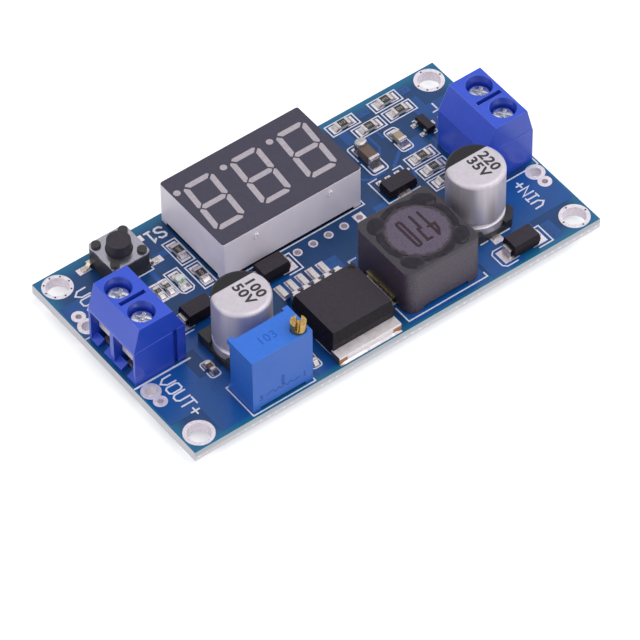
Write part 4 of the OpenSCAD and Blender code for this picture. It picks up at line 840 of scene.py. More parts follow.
class CONVERTER_OT_copper(ConverterPiece, bpy.types.Operator):
    """Lay the copper areas and traces that show through the lacquer"""
    bl_idname = "converter.copper"
    bl_label = "Copper Relief"

    TOP = (
        [(-32.7, 1.0), (-32.7, 12.25), (-25.3, 12.25), (-25.3, 1.0)],
        [(-32.7, 0.6), (-25.1, 0.6), (-25.1, -8.4), (-21.4, -8.4), (-21.4, -12.3), (-23.0, -12.3), (-23.0, -17.2),
         (-28.1, -17.2), (-28.1, -12.5), (-32.7, -12.5)],
        [(-24.6, 0.4), (-13.6, 0.4), (-13.6, -6.7), (-23.0, -6.7), (-23.0, -3.8), (-24.6, -3.8)],
        [(-12.8, -5.4), (1.3, -17.2)],
        [(-8.5, -1.0), (-4.2, -4.8)],
        [(-1.9, -1.9), (1.4, -4.8)],
        [(1.9, -3.6), (14.9, -17.6)],
        [(10.3, 1.75), (12.5, 0.7)],
        [(15.4, -3.4), (23.8, -3.4), (23.8, -5.2), (32.7, -5.2), (32.7, -12.8), (25.2, -12.8), (25.2, -13.7),
         (20.9, -13.7), (20.9, -17.6), (15.4, -17.6)],
        [(24.0, -14.0), (27.55, -17.2)],
        [(14.6, 15.2), (16.05, 12.4)],
        [(26.4, 14.4), (27.4, 14.4), (27.4, 12.25), (32.7, 12.25), (32.7, 6.0), (26.0, 6.0), (26.0, 11.0),
         (25.4, 11.0), (25.4, 12.4), (26.4, 12.4)],
        [(21.3, 8.6), (23.3, 8.6), (23.3, 6.2), (20.2, 6.2), (20.2, 7.0), (21.3, 7.4)],
        [(18.9, 16.6), (20.7, 15.6)],
        [(25.9, 16.7), (27.6, 15.6)],
    )
    TRACES = (
        ([(-19.45, 8.6), (-19.45, 11.4)], 0.75),
        ([(-17.4, 12.0), (-15.5, 12.0)], 1.0),
        ([(17.7, 12.5), (17.7, 9.7), (16.9, 8.6), (16.3, 8.6)], 0.5),
        ([(17.2, 5.9), (19.4, 7.6), (20.3, 7.9)], 0.55),
        ([(11.8, 7.0), (13.2, 5.9), (15.6, 5.9)], 0.5),
        ([(19.2, 12.3), (19.2, 11.0), (20.6, 10.6)], 0.4),
        ([(22.4, 5.1), (23.6, 5.1), (24.4, 6.0), (24.4, 7.6)], 0.42),
        ([(18.9, 3.8), (18.2, 2.5), (17.7, 2.5)], 0.42),
        ([(11.3, 0.8), (10.4, -0.4), (9.4, -2.4)], 0.5),
    )
    UNDER = (
        [(-31.6, -15.8), (-31.6, 15.8), (-27.4, 15.8), (-27.4, 16.8), (-12.2, 16.8), (-12.2, -16.8), (-27.4, -16.8),
         (-27.4, -15.8)],
        [(-11.6, 16.8), (31.6, 4.2)],
        [(-11.6, 3.6), (12.4, -16.8)],
        [(13.0, 3.6), (31.6, -16.8)],
    )

    def execute(self, context):
        step = self.prints.copper
        flat = [plate(points, BOARD_TOP) for points in self.TOP]
        flat += [strip(points, width * MM, BOARD_TOP) for points, width in self.TRACES]
        pieces = (print_of("copper_top", flat, step),
                  print_of("copper_under", [plate(points, BOARD_LOW.z - step) for points in self.UNDER], step))
        drill(pieces, board_holes(), step * 0.6)
        lacquer = Finish("copper_lacquer", self.colours.pour_mask, specular=0.45).mottle(
            6, 0.88, 1.14, (0.24, 0.34), 0.002, 0.05)
        for piece in pieces:
            hand_over(piece, lacquer)
        return {"FINISHED"}


class CONVERTER_OT_hole_plating(ConverterPiece, bpy.types.Operator):
    """Line the open holes with plating and ring the mounting holes with small vias"""
    bl_idname = "converter.hole_plating"
    bl_label = "Hole Plating"

    STEP = 0.012 * MM
    PAD_BEVEL = 0.005 * MM
    VIA_RADIUS = 0.14 * MM
    VIA_CIRCLE = 1.83
    VIA_TURNS = ((), range(0, 360, 45), (0, 90, 180, 270), (0, 90, 180, 225, 270))
    WIDE_VIA = (1.2, 1.2, 1)
    BOARD_VIAS = ((26.3, -14.6), (26.3, -15.6), (26.3, -16.6), (26.25, 16.2), (27.0, 16.2), (19.3, 16.2),
                  (20.2, 16.2), (0.05, -2.6), (1.1, -2.68))
    HEADER_ROW = 1.43
    ROW_SLACK = 0.3
    PAD_HALF = Vector((0.76, 0.76))
    MOUNT_SHARE = 0.9
    JOINT_REACH = 0.3 * MM

    def model_barrel(self, radius):
        """The plating of one hole."""
        barrel = model("cylinder", vertices=48, radius=radius, depth=PAD_TOP, end_fill_type="NOTHING",
                       location=(0, 0, PAD_TOP / 2))
        bpy.ops.object.transform_apply()
        apply_modifier(barrel, "SOLIDIFY", thickness=self.prints.plating, offset=-1.0)
        return barrel

    def model_via(self):
        """One via, a disc a little sunk in its middle, dark with painted shade in place of its hole."""
        via = model("circle", vertices=12, radius=self.VIA_RADIUS, fill_type="NGON", location=(0, 0, PAD_TOP))
        bpy.ops.object.transform_apply()
        edit(via, "FACE", whole=True)
        bpy.ops.mesh.extrude_region_move(TRANSFORM_OT_translate={"value": (0, 0, self.STEP)})
        bpy.ops.mesh.inset(thickness=self.VIA_RADIUS * 0.3, depth=-self.STEP / 2)
        bpy.ops.object.mode_set(mode="OBJECT")
        return via

    def square_pad(self, tin):
        """The header's first pad, square round its hole."""
        row = [box for box in board_holes() if abs(middle(box).y / MM - self.HEADER_ROW) < self.ROW_SLACK]
        hole = max(row, key=lambda box: box[0].x)
        spot = middle(hole).xy / MM
        pad = print_of("header_pad", [plate((spot - self.PAD_HALF, spot + self.PAD_HALF), PAD_TOP)], self.STEP)
        drill([pad], [hole], self.PAD_BEVEL)
        hand_over(pad, tin)

    def execute(self, context):
        radius = HOLE["hole_r_mm"] * MM
        barrel, via = self.model_barrel(radius), self.model_via()
        barrels, vias = [], []
        for (x, y), turns in zip(HOLE_PLACES, self.VIA_TURNS):
            barrels.append(copy_of(barrel, at((x * MM, y * MM, 0))))
            for turn in map(math.radians, turns):
                spot = (x + self.VIA_CIRCLE * math.cos(turn), y + self.VIA_CIRCLE * math.sin(turn))
                vias.append(copy_of(via, at((spot[0] * MM, spot[1] * MM, 0))))
        sink = BOARD_TOP + self.prints.copper - PAD_TOP
        vias += [copy_of(via, at((x * MM, y * MM, sink), self.WIDE_VIA)) for x, y in self.BOARD_VIAS]
        joints = [middle(box).xy for box in solids_of("solder_joints")]
        for box in board_holes():
            spot, share = middle(box), (box[1].x - box[0].x) / 2 / radius
            filled = min((joint - spot.xy).length for joint in joints) <= self.JOINT_REACH
            if share < self.MOUNT_SHARE and not filled:
                barrels.append(copy_of(barrel, at((spot.x, spot.y, 0), (share, share, 1))))
        discard(barrel, via)
        tin = finish_of("solder_pads")
        hand_over(join("hole_barrels", barrels), tin, smooth=40)
        self.square_pad(tin)
        # Painted shade: the vias are dark discs that stand in for the shade inside their holes.
        dark = plain("via_hole", (0.05, 0.045, 0.05), 0.1, 0.7, 1.4, (0.4, 0.6), 0.002)
        hand_over(join("rim_vias", vias), dark)
        return {"FINISHED"}


class CONVERTER_OT_chip_pads(ConverterPiece, bpy.types.Operator):
    """Lay the tinned pads that reach out past the chips' ends"""
    bl_idname = "converter.chip_pads"
    bl_label = "Chip Pads"

    REACHES = {"resistor_bodies": {1.0: 0.45, 2.0: 0.93}, "indicator_body": {2.0: 0.87},
               "ceramic_bodies": {1.6: 0.42, 2.0: 0.92, 3.2: 1.07}}
    UNDER = 0.3
    SIDE = 0.12
    CORNER = 0.08
    STEP = 0.008 * MM
    BEVEL = 0.015 * MM

    def execute(self, context):
        made = []
        for node, reaches in self.REACHES.items():
            for box in solids_of(node):
                spot, half = middle(box) / MM, (box[1] - box[0]) / MM / 2
                lying = half.x > half.y
                run, side = (half.x, half.y) if lying else (half.y, half.x)
                reach = reaches[min(reaches, key=lambda long: abs(long - 2 * run))]
                for end in (-1, 1):
                    near, far = sorted((end * (run - self.UNDER), end * (run + reach)))
                    corners = frame_points((near, -side - self.SIDE), (far, side + self.SIDE), self.CORNER)
                    made.append(plate([(spot.x + a, spot.y + b) if lying else (spot.x - b, spot.y + a)
                                       for a, b in corners], BOARD_TOP))
        piece = print_of("chip_pads", made, PAD_TOP - BOARD_TOP + self.STEP)
        soften(piece, self.BEVEL)
        hand_over(piece, finish_of("solder_pads"))
        return {"FINISHED"}


class CONVERTER_OT_display_gap_shade(ConverterPiece, bpy.types.Operator):
    """Paint the shade in the gaps between the display's feet with dark strips"""
    bl_idname = "converter.display_seal"
    bl_label = "Display Seal"

    FOOT = 1.4
    INSET = 0.29
    WIDTH = 0.5 * MM
    HEIGHT = 0.44 * MM
    BEVEL = 0.04 * MM

    def execute(self, context):
        low, high = (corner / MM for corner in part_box("display_housing"))
        runs = [[(low.x + self.FOOT, y), (high.x - self.FOOT, y)] for y in (low.y + self.INSET, high.y - self.INSET)]
        runs += [[(x, low.y + self.FOOT), (x, high.y - self.FOOT)] for x in (low.x + self.INSET, high.x - self.INSET)]
        strips = [strip(run, self.WIDTH, BOARD_TOP) for run in runs]
        piece = print_of("display_seal", strips, low.z * MM - BOARD_TOP + self.HEIGHT)
        soften(piece, self.BEVEL)
        # Painted shade: near black strips under the display's walls, where there is only shade.
        dark = Finish("dark_seal", (0.007, 0.006, 0.009), specular=0.1).mottle(0.15, 0.6, 1.5, (0.7, 0.9), 0.01)
        hand_over(piece, dark)
        return {"FINISHED"}


LOW, HIGH, MID = range(3)


class CONVERTER_OT_board_print(ConverterPiece, bpy.types.Operator):
    """Print the part outlines on the board"""
    bl_idname = "converter.board_print"
    bl_label = "Board Outlines"

    LARGE_CHIP = 1.7
    CHIP_MARGIN = (1.32, 0.4)
    PAIR_MARGIN = Vector((0.3, 0.78))
    DIODE_RUNS = (3.65, 3.95, 4.04)
    DIODE_SIDE, DIODE_BACK, DIODE_CUT = 0.3, 0.35, 0.5
    CERAMIC_MARGINS = {1.6: (0.73, 0.43), 2.0: (1.3, 0.38), 3.2: (1.45, 0.58)}
    BRACKET_RADIUS, BRACKET_GAP = 0.45, 0.3
    # Start near the board's edge, run past the block's side, and distance from its face
    BLOCK_FRONT, BLOCK_BACK = (-32.85, 0.3, -0.37), (-32.9, 0.1, -0.33)
    BLOCK_FRONT_SHARE = 1.4
    # Each point of a line is a side of the part's box and a distance past it, for x and then for y
    LARGE_PARTS = (
        ("input_block_housing", [(LOW, 0.1, HIGH, -0.2), (LOW, 0.1, LOW, -0.4), (HIGH, 0.25, LOW, -0.4)]),
        ("input_block_housing", [(HIGH, 0.25, LOW, -0.4), (HIGH, 0.25, HIGH, -2.0)]),
        ("display_housing", [(LOW, 1, LOW, -0.24), (HIGH, 0.24, LOW, -0.24), (HIGH, 0.24, LOW, 1)]),
        ("switch_base", [(LOW, -0.15, LOW, 0.3), (LOW, -0.15, LOW, -0.2), (HIGH, 0.15, LOW, -0.2),
                         (HIGH, 0.15, LOW, 0.3)]),
        ("switch_base", [(LOW, -0.15, HIGH, -0.3), (LOW, -0.15, HIGH, 0.2), (HIGH, 0.15, HIGH, 0.2),
                         (HIGH, 0.15, HIGH, -0.3)]),
        ("trimmer_housing", [(LOW, -0.22, LOW, -0.36), (HIGH, 0.1, LOW, -0.36), (HIGH, 0.1, HIGH, 0.25),
                             (LOW, -0.22, HIGH, 0.25), (LOW, -0.22, LOW, -0.36)]),
        ("inductor_shield", [(LOW, -0.45, LOW, 2.3), (LOW, -0.45, LOW, -0.5), (HIGH, 0.45, LOW, -0.5),
                             (HIGH, 0.45, LOW, 0.3)]),
        ("inductor_shield", [(LOW, -0.45, HIGH, -0.1), (LOW, -0.45, HIGH, 0.5), (LOW, 0.75, HIGH, 0.5)]),
        ("inductor_shield", [(HIGH, -0.75, HIGH, 0.5), (HIGH, 0.45, HIGH, 0.5), (HIGH, 0.45, HIGH, -0.3)]),
        ("input_capacitor_base", [(MID, 0.95, LOW, -0.1), (MID, 2.35, LOW, -0.1), (HIGH, 0.3, LOW, 2.15),
                                  (HIGH, 0.3, LOW, 3.6)]),
        ("input_capacitor_base", [(MID, -2.35, LOW, -0.1), (MID, -1.2, LOW, -0.1)]),
        ("ldo_body", [(LOW, 0.9, HIGH, 1.75), (LOW, -0.45, HIGH, 1.75), (LOW, -0.45, LOW, -0.3),
                      (HIGH, 0.2, LOW, -0.3)]),
        ("ldo_body", [(HIGH, -0.9, HIGH, 1.75), (HIGH, 0.35, HIGH, 1.75), (HIGH, 0.35, HIGH, 0.5)]),
    )
    DOT_LOW, DOT_HIGH, DOT_RADIUS = Vector((0.72, 0.5)), Vector((0.96, 0.74)), 0.11
    SMALL_PARTS = (
        ("transistor_body", [(LOW, -0.2, HIGH, 0.25), (LOW, 0.4, HIGH, 0.25)]),
        ("transistor_body", [(HIGH, 0.2, LOW, 0.5), (HIGH, 0.2, LOW, -0.25), (HIGH, -0.4, LOW, -0.25)]),
        ("indicator_body", [(LOW, -0.42, HIGH, 1.25), (HIGH, 0.42, HIGH, 1.25), (HIGH, 0.42, LOW, -0.8),
                            (HIGH, -0.03, LOW, -1.25), (LOW, 0.03, LOW, -1.25), (LOW, -0.42, LOW, -0.8),
                            (LOW, -0.42, HIGH, 1.25)]),
    )

    def line(self, points, closed=False, share=1.0):
        """One printed line, on the lacquer over copper."""
        return strip(points, self.prints.line * share, BOARD_TOP + self.prints.copper, closed)

    def around(self, box, run, side):
        """Low and high corners of a chip's outline, in millimetres."""
        size = box[1] - box[0]
        grow = Vector((run, side)) if size.x > size.y else Vector((side, run))
        return Vector(box[0].xy) / MM - grow, Vector(box[1].xy) / MM + grow

    def resistor_lines(self):
        """Frames round the chip resistors, one shared frame for the two small ones."""
        boxes = solids_of("resistor_bodies")
        large = [b for b in boxes if max((b[1] - b[0]).xy) > self.LARGE_CHIP * MM]
        made = [self.line(frame_points(*self.around(box, *self.CHIP_MARGIN)), True) for box in large]
        pair = sorted((b for b in boxes if b not in large), key=lambda b: b[0].y)[-2:]
        low = Vector(map(min, pair[0][0].xy, pair[1][0].xy)) / MM - self.PAIR_MARGIN
        high = Vector(map(max, pair[0][1].xy, pair[1][1].xy)) / MM + self.PAIR_MARGIN
        split = (low.x + high.x) / 2
        return made + [self.line(frame_points(low, high), True), self.line([(split, low.y), (split, high.y)])]

    def ceramic_lines(self):
        """Rounded brackets round the ceramic capacitors, open in the middle of their long sides."""
        made, r = [], self.BRACKET_RADIUS
        for box in solids_of("ceramic_bodies"):
            long = max((box[1] - box[0]).xy) / MM
            size = min(self.CERAMIC_MARGINS, key=lambda s: abs(s - long))
            low, high = self.around(box, *self.CERAMIC_MARGINS[size])
            for side, turn, start, end in ((-1, 180, low, high), (1, 0, high, low)):
                gap = (low.y + high.y) / 2 + side * self.BRACKET_GAP
                bend = start.y - side * r
                made.append(self.line([(start.x, gap), *arc((start.x - side * r, bend), r, turn, turn + 90, 4),
                                       *arc((end.x + side * r, bend), r, turn + 90, turn + 180, 4), (end.x, gap)]))
        return made

    def diode_lines(self):
        """A bracket past each end of a diode, cut at the corners on its marked end."""
        made, cut = [], self.DIODE_CUT
        for box, run in zip(solids_of("diode_bodies"), self.DIODE_RUNS):
            c, half = middle(box) / MM, (box[1] - box[0]) / MM / 2
            side, back = half.y + self.DIODE_SIDE, half.x - self.DIODE_BACK
            plain_end = [(back, side), (run, side), (run, -side), (back, -side)]
            marked_end = [(-back, side), (cut - run, side), (-run, side - cut), (-run, cut - side),
                          (cut - run, -side), (-back, -side)]
            made += [self.line([(c.x + x, c.y + y) for x, y in points]) for points in (plain_end, marked_end)]
        return made

    def block_lines(self):
        """Lines from the board's edge along the output block."""
        low, high = (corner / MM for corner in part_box("output_block_housing"))
        front, past_front, off_front = self.BLOCK_FRONT
        back, past_back, off_back = self.BLOCK_BACK
        return [self.line([(front, low.y + off_front), (high.x + past_front, low.y + off_front)],
                          share=self.BLOCK_FRONT_SHARE),
                self.line([(back, high.y + off_back), (low.x + past_back, high.y + off_back)])]

    def part_lines(self, rows):
        """Lines along the sides of parts, closed where they end on their first point."""
        made = []
        for node, run in rows:
            box = [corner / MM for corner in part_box(node)]
            box.append(middle(box))
            points = [(box[i].x + dx, box[j].y + dy) for i, dx, j, dy in run]
            ring = run[0] == run[-1]
            made.append(self.line(points[:-1] if ring else points, ring))
        return made

    def dot_line(self):
        """A small ring past a corner of the flat regulator."""
        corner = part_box("ldo_body")[1].xy / MM
        return self.line(frame_points(corner + self.DOT_LOW, corner + self.DOT_HIGH, self.DOT_RADIUS), True)

    def execute(self, context):
        lines = self.resistor_lines() + self.ceramic_lines() + self.diode_lines() + self.block_lines()
        lines += self.part_lines(self.LARGE_PARTS) + [self.dot_line()] + self.part_lines(self.SMALL_PARTS)
        piece = print_of("board_outlines", lines, self.prints.ink)
        hand_over(piece, white_ink(self.colours))
        return {"FINISHED"}


class CONVERTER_OT_labels(ConverterPiece, bpy.types.Operator):
    """Print the terminal and switch labels on the board"""
    bl_idname = "converter.labels"
    bl_label = "Board Labels"

    # Word, start, turn, share of the label height, share of the line width, step between the letters
    LABELS = (
        ("VOUT+", (-29.76, -5.5), -90, 1.0, 1.25, 0.8),
        ("VOUT-", (-29.76, 13.4), -90, 1.0, 1.25, 0.8),
        ("VIN+", (29.1, -11.5), 90, 0.87, 1.25, 0.8),
        ("VIN-", (29.1, 6.8), 90, 0.87, 1.25, 0.8),
        ("S1", (-13.75, 16.25), 180, 1.0, 1.625, 0.78),
    )

    def execute(self, context):
        level = BOARD_TOP + self.prints.copper
        made = []
        for words, start, turn, tall, wide, step in self.LABELS:
            made += lettering(words, start, self.prints.label * tall, turn, self.prints.line * wide, level, step)
        piece = print_of("board_labels", made, self.prints.ink)
        hand_over(piece, white_ink(self.colours))
        return {"FINISHED"}


class CONVERTER_OT_solder(ConverterPiece, bpy.types.Operator):
    """Model the solder at the chip ends and lead feet"""
    bl_idname = "converter.solder"
    bl_label = "Solder"

    CHIPS = {"resistor_ends": ("resistor_bodies", 0.55), "ceramic_ends": ("ceramic_bodies", 0.55),
             "indicator_ends": ("indicator_body", 0.5)}
    FEET = ("diode_leads", "switch_leads", "ldo_leads", "transistor_leads", "regulator_leads",
            "output_capacitor_leads", "input_capacitor_leads")
    OVERLAP = 0.02 * MM
    CHIP_WIDE, CHIP_TALL = 1.02, 0.78
    FOOT_LIFT = 0.12 * MM
    FOOT_RIM, FOOT_TALL = 0.36 * MM, 0.2 * MM
    CROWN, CROWN_RISE, CROWN_SHIFT = (2.5 * MM, 2.0 * MM), 0.3 * MM, 0.1 * MM
    TAB_RUN, TAB_TALL, TAB_OVERLAP = 0.36 * MM, 0.3 * MM, 0.05 * MM
    TERMINAL_RUN, TERMINAL_TALL = 0.4 * MM, 0.5 * MM

    def model_fillet(self):
        """One fillet, a unit long, wide and high: concave from the metal at 0 down to its toe at 1."""
        piece = model("cube", size=1, location=(0.5, 0, 0.5))
        bpy.ops.object.transform_apply()
        edit(piece, "EDGE")
        pick(piece, lambda m: m.x > 0.9 and m.z > 0.9, "EDGE")
        bpy.ops.mesh.bevel(offset=0.9, segments=6, profile=0.22, affect="EDGES")
        pick(piece, lambda m: m.z > 0.02)
        bpy.ops.transform.resize(value=(1, 0.84, 1), center_override=(0, 0, 0))
        bpy.ops.object.mode_set(mode="OBJECT")
        return piece

    def feet_of(self, node):
        """Boxes of the parts of each lead that lie on the board."""
        feet, slack = [], 1e-6
        for low, high in solids_of(node):
            inside = [v.co for v in NODES[node].data.vertices if v.co.z < PAD_TOP + self.FOOT_LIFT
                      and low.x - slack < v.co.x < high.x + slack and low.y - slack < v.co.y < high.y + slack]
            if inside:
                feet.append((Vector(map(min, *inside)), Vector(map(max, *inside))))
        return feet

    def execute(self, context):
        fillet, bead = self.model_fillet(), model_bead()
        made = []
        for node, (bodies, run) in self.CHIPS.items():
            centres = [middle(box) for box in solids_of(bodies)]
            for box in solids_of(node):
                spot, size = middle(box), box[1] - box[0]
                out = (spot - min(centres, key=lambda c: (c - spot).length)).xy
                if abs(out.x) > abs(out.y):
                    turn, reach, wide = 0.0 if out.x > 0 else math.pi, size.x / 2, size.y
                else:
                    turn, reach, wide = math.copysign(QUARTER, out.y), size.y / 2, size.x
                end = at((spot.x, spot.y, PAD_TOP), turn=turn) @ at((reach - self.OVERLAP, 0, 0))
                scale = at((0, 0, 0), (run * MM, wide * self.CHIP_WIDE, size.z * self.CHIP_TALL))
                made.append(copy_of(fillet, end @ scale))
        for low, high in (foot for node in self.FEET for foot in self.feet_of(node)):
            size = (high.x - low.x + self.FOOT_RIM, high.y - low.y + self.FOOT_RIM, self.FOOT_TALL)
            made.append(copy_of(bead, at(((low.x + high.x) / 2, (low.y + high.y) / 2, PAD_TOP), size)))
        large = max(solids_of("ceramic_bodies"), key=lambda b: (b[1] - b[0]).length)
        spot = (middle(large).x + self.CROWN_SHIFT, large[1].y + self.CROWN_SHIFT, PAD_TOP)
        made.append(copy_of(bead, at(spot, (*self.CROWN, large[1].z - PAD_TOP + self.CROWN_RISE))))
        low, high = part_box("regulator_tab")
        spot = ((low.x + high.x) / 2, low.y + self.TAB_OVERLAP, PAD_TOP)
        made.append(copy_of(fillet, at(spot, (self.TAB_RUN, high.x - low.x, self.TAB_TALL), -QUARTER)))
        for low, high in solids_of("inductor_terminals"):
            right = middle((low, high)).x > middle(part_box("inductor_shield")).x
            edge = high.x - self.OVERLAP if right else low.x + self.OVERLAP
            size = (self.TERMINAL_RUN, high.y - low.y, self.TERMINAL_TALL)
            made.append(copy_of(fillet, at((edge, (low.y + high.y) / 2, PAD_TOP), size, 0 if right else math.pi)))
        discard(fillet, bead)
        hand_over(join("solder_fillets", made), finish_of("solder_joints"), smooth=60)
        return {"FINISHED"}


class CONVERTER_OT_glue(ConverterPiece, bpy.types.Operator):
    """Model the glue between the inductor's core and shield"""
    bl_idname = "converter.glue"
    bl_label = "Inductor Glue"

    RING, RING_THICK, RING_FLAT, RING_SINK = 5.05 * MM, 0.74 * MM, 0.2, 0.12 * MM
    WAVE_SIZE, WAVE_DEPTH = 1.3 * MM, 0.28 * MM
    CORNER, CORNER_SINK = 3.98 * MM, 0.3 * MM
    POOL, POOL_TALL, POOL_MORE = (2.9 * MM, 4.2 * MM), 0.44, 0.03
    VOXEL = 0.1 * MM

    def execute(self, context):
        low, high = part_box("inductor_core")
        centre = Vector((low.x + high.x, low.y + high.y, 2 * high.z)) / 2
        ring = model("torus", major_segments=180, minor_segments=16, major_radius=self.RING,
                     minor_radius=self.RING_THICK)
        edit(ring, whole=True)
        bpy.ops.transform.resize(value=(1, 1, self.RING_FLAT), center_override=(0, 0, 0))
        waves = bpy.data.textures.new("glue_waves", "CLOUDS")
        waves.noise_scale = self.WAVE_SIZE
        apply_modifier(ring, "DISPLACE", texture=waves, strength=self.WAVE_DEPTH, mid_level=0.5, direction="NORMAL")
        made = [place(ring, at(centre - Vector((0, 0, self.RING_SINK))))]
        bead = model_bead()
        for i, j in ((-1, -1), (-1, 1), (1, -1), (1, 1)):
            spot = centre + Vector((i * self.CORNER, j * self.CORNER, -self.CORNER_SINK))
            size = (*self.POOL, (self.POOL_TALL + self.POOL_MORE * i) * MM)
            made.append(copy_of(bead, at(spot, size, math.atan2(j, i))))
        discard(bead)
        piece = join("inductor_glue", made)
        apply_modifier(piece, "REMESH", mode="VOXEL", voxel_size=self.VOXEL)
        apply_modifier(piece, "SMOOTH", factor=0.5, iterations=14)
        gloss = Finish("glossy_glue", (0.013, 0.009, 0.02), specular=0.28).mottle(0.8, 0.7, 1.4, (0.07, 0.2), 0.02)
        hand_over(piece, gloss, smooth=60)
        return {"FINISHED"}


class CONVERTER_OT_gate_marks(ConverterPiece, bpy.types.Operator):
    """Model the two moulding marks on the display's front side"""
    bl_idname = "converter.gate_marks"
    bl_label = "Gate Marks"

    SPOTS = ((4.4, 7.26), (-7.6, 7.1))
    BLOBS = ((0.0, (0.66, 1.0, 0.22)), (0.18, (0.38, 0.56, 0.34)), (-0.14, (0.34, 0.4, 0.28)))
    SINK = 0.03
    SLOPE = 1.5

    def execute(self, context):
        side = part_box("display_housing")[0].y
        bead = model_bead()
        made = []
        for x, z in self.SPOTS:
            for shift, size in self.BLOBS:
                spot = Vector((x + shift, side / MM + self.SINK, z + self.SLOPE * shift)) * MM
                made.append(copy_of(bead, at(spot, [c * MM for c in size], QUARTER, "X")))
        discard(bead)
        hand_over(join("gate_marks", made), finish_of("display_housing"), smooth=60)
        return {"FINISHED"}


class CONVERTER_OT_snap_dome(ConverterPiece, bpy.types.Operator):
    """Model the switch's snap dome"""
    bl_idname = "converter.snap_dome"
    bl_label = "Snap Dome"

    CORNERS = 48
    RINGS = 9
    SHEET = 0.08 * MM
    CLEARANCE = 0.01 * MM
    PRESSED = 0.3

    def execute(self, context):
        low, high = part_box("switch_dome")
        centre, radius = middle((low, high)), (high.x - low.x) / 2
        rise = high.z - low.z - self.SHEET - 2 * self.CLEARANCE
        turn = 360 / self.CORNERS
        rim = arc((centre.x / MM, centre.y / MM), radius / MM, 0, 360 - turn, self.CORNERS - 1)
        dome = plate(rim, low.z + self.SHEET + self.CLEARANCE)
        edit(dome, "FACE", whole=True)
        for ring in range(self.RINGS):
            outer, inner = 1 - ring / (self.RINGS + 1), 1 - (ring + 1) / (self.RINGS + 1)
            bpy.ops.mesh.inset(thickness=radius / (self.RINGS + 1), depth=rise * (outer ** 2 - inner ** 2))
        apply_modifier(dome, "SOLIDIFY", thickness=self.SHEET, offset=-1.0)
        hand_over(join("snap_dome", [dome]), finish_of("switch_dome"), smooth=40)
        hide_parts("switch_dome")
        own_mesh(dome)
        return {"FINISHED"}


class CONVERTER_OT_can_figures(ConverterPiece, bpy.types.Operator):
    """Print the value and voltage on the capacitors"""
    bl_idname = "converter.can_figures"
    bl_label = "Can Figures"

    ROWS = {"output_capacitor_can": (("100", 1.85), ("50V", 0.05)),
            "input_capacitor_can": (("220", 1.85), ("35V", 0.05))}
    SHIFT = -0.45 * MM
    BOLD = 0.065 * MM
    WIDE = (1.12, 1, 1)

    def execute(self, context):
        made = []
        for node, rows in self.ROWS.items():
            low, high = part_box(node)
            for words, run in rows:
                piece = figures(words, self.prints.can_code, self.BOLD, self.prints.ink)
                spot = ((low.x + high.x) / 2 + run * MM, (low.y + high.y) / 2 + self.SHIFT, high.z)
                made.append(place(piece, at(spot, self.WIDE, -QUARTER)))
        ink = plain("black_ink", (0.016, 0.014, 0.018), 0.3, 0.7, 1.6, (0.42, 0.6), 0.002, 0.01)
        hand_over(join("can_figures", made), ink)
        return {"FINISHED"}


class CONVERTER_OT_core_figures(ConverterPiece, bpy.types.Operator):
    """Print the value on the inductor's core"""
    bl_idname = "converter.core_figures"
    bl_label = "Core Figures"

    STEP = 0.37
    START = (2.5, 2.555)
    WIDTH = 0.4 * MM
    STROKES = (
        ([(0.14, 0), (0.14, 1)], [(0.14, 0.98), (0.03, 0.82), (0, 0.6)], [(-0.01, 0.585), (0.22, 0.585)]),
        ([(0, 0.97), (0.17, 0.97)], [(0.15, 0.97), (0.135, 0.5), (0.04, 0.5), (0.04, 0)]),
        ([(0.03, 0), (0.11, 0), (0.14, 0.04), (0.14, 0.96), (0.11, 1), (0.03, 1), (0, 0.96), (0, 0.04), (0.03, 0)],),
    )

    def execute(self, context):
        low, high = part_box("inductor_core")
        spot, tall = middle((low, high)) / MM, self.prints.core_code / MM
        made = []
        for i, strokes in enumerate(self.STROKES):
            for stroke in strokes:
                points = [(spot.x + self.START[0] - (x + i * self.STEP) * tall, spot.y + self.START[1] - y * tall)
                          for x, y in stroke]
                ring = stroke[0] == stroke[-1]
                made.append(strip(points[:-1] if ring else points, self.WIDTH, high.z, ring))
        piece = print_of("core_figures", made, self.prints.ink)
        brown = Finish("brown_ink", (0.045, 0.027, 0.036), specular=0.12).mottle(
            0.12, 0.7, 1.5, (0.4, 0.6), 0.003, 0.01)
        hand_over(piece, brown)
        return {"FINISHED"}


class CONVERTER_OT_chip_figures(ConverterPiece, bpy.types.Operator):
    """Print the value codes on the chip resistors"""
    bl_idname = "converter.chip_figures"
    bl_label = "Chip Figures"

    CODES = ("103", "102", "472", "203", "512", "301", "104")
    BOLD = 0.006 * MM
    LARGE_CHIP, SMALL_SHARE = 1.3 * MM, 0.62

    def execute(self, context):
        made = []
        for i, box in enumerate(solids_of("resistor_bodies")):
            size, spot = box[1] - box[0], middle(box)
            share = 1.0 if max(size.xy) > self.LARGE_CHIP else self.SMALL_SHARE
            words = self.CODES[i % len(self.CODES)]
            piece = figures(words, self.prints.chip_code * share, self.BOLD, self.prints.ink / 2)
            turn = 0 if size.x > size.y else -QUARTER
            made.append(place(piece, at((spot.x, spot.y, box[1].z), turn=turn)))
        pale = plain("pale_code", (0.42, 0.4, 0.38), 0.1, 0.8, 1.2, (0.4, 0.6), 0.001, 0.005)
        hand_over(join("chip_figures", made), pale)
        return {"FINISHED"}


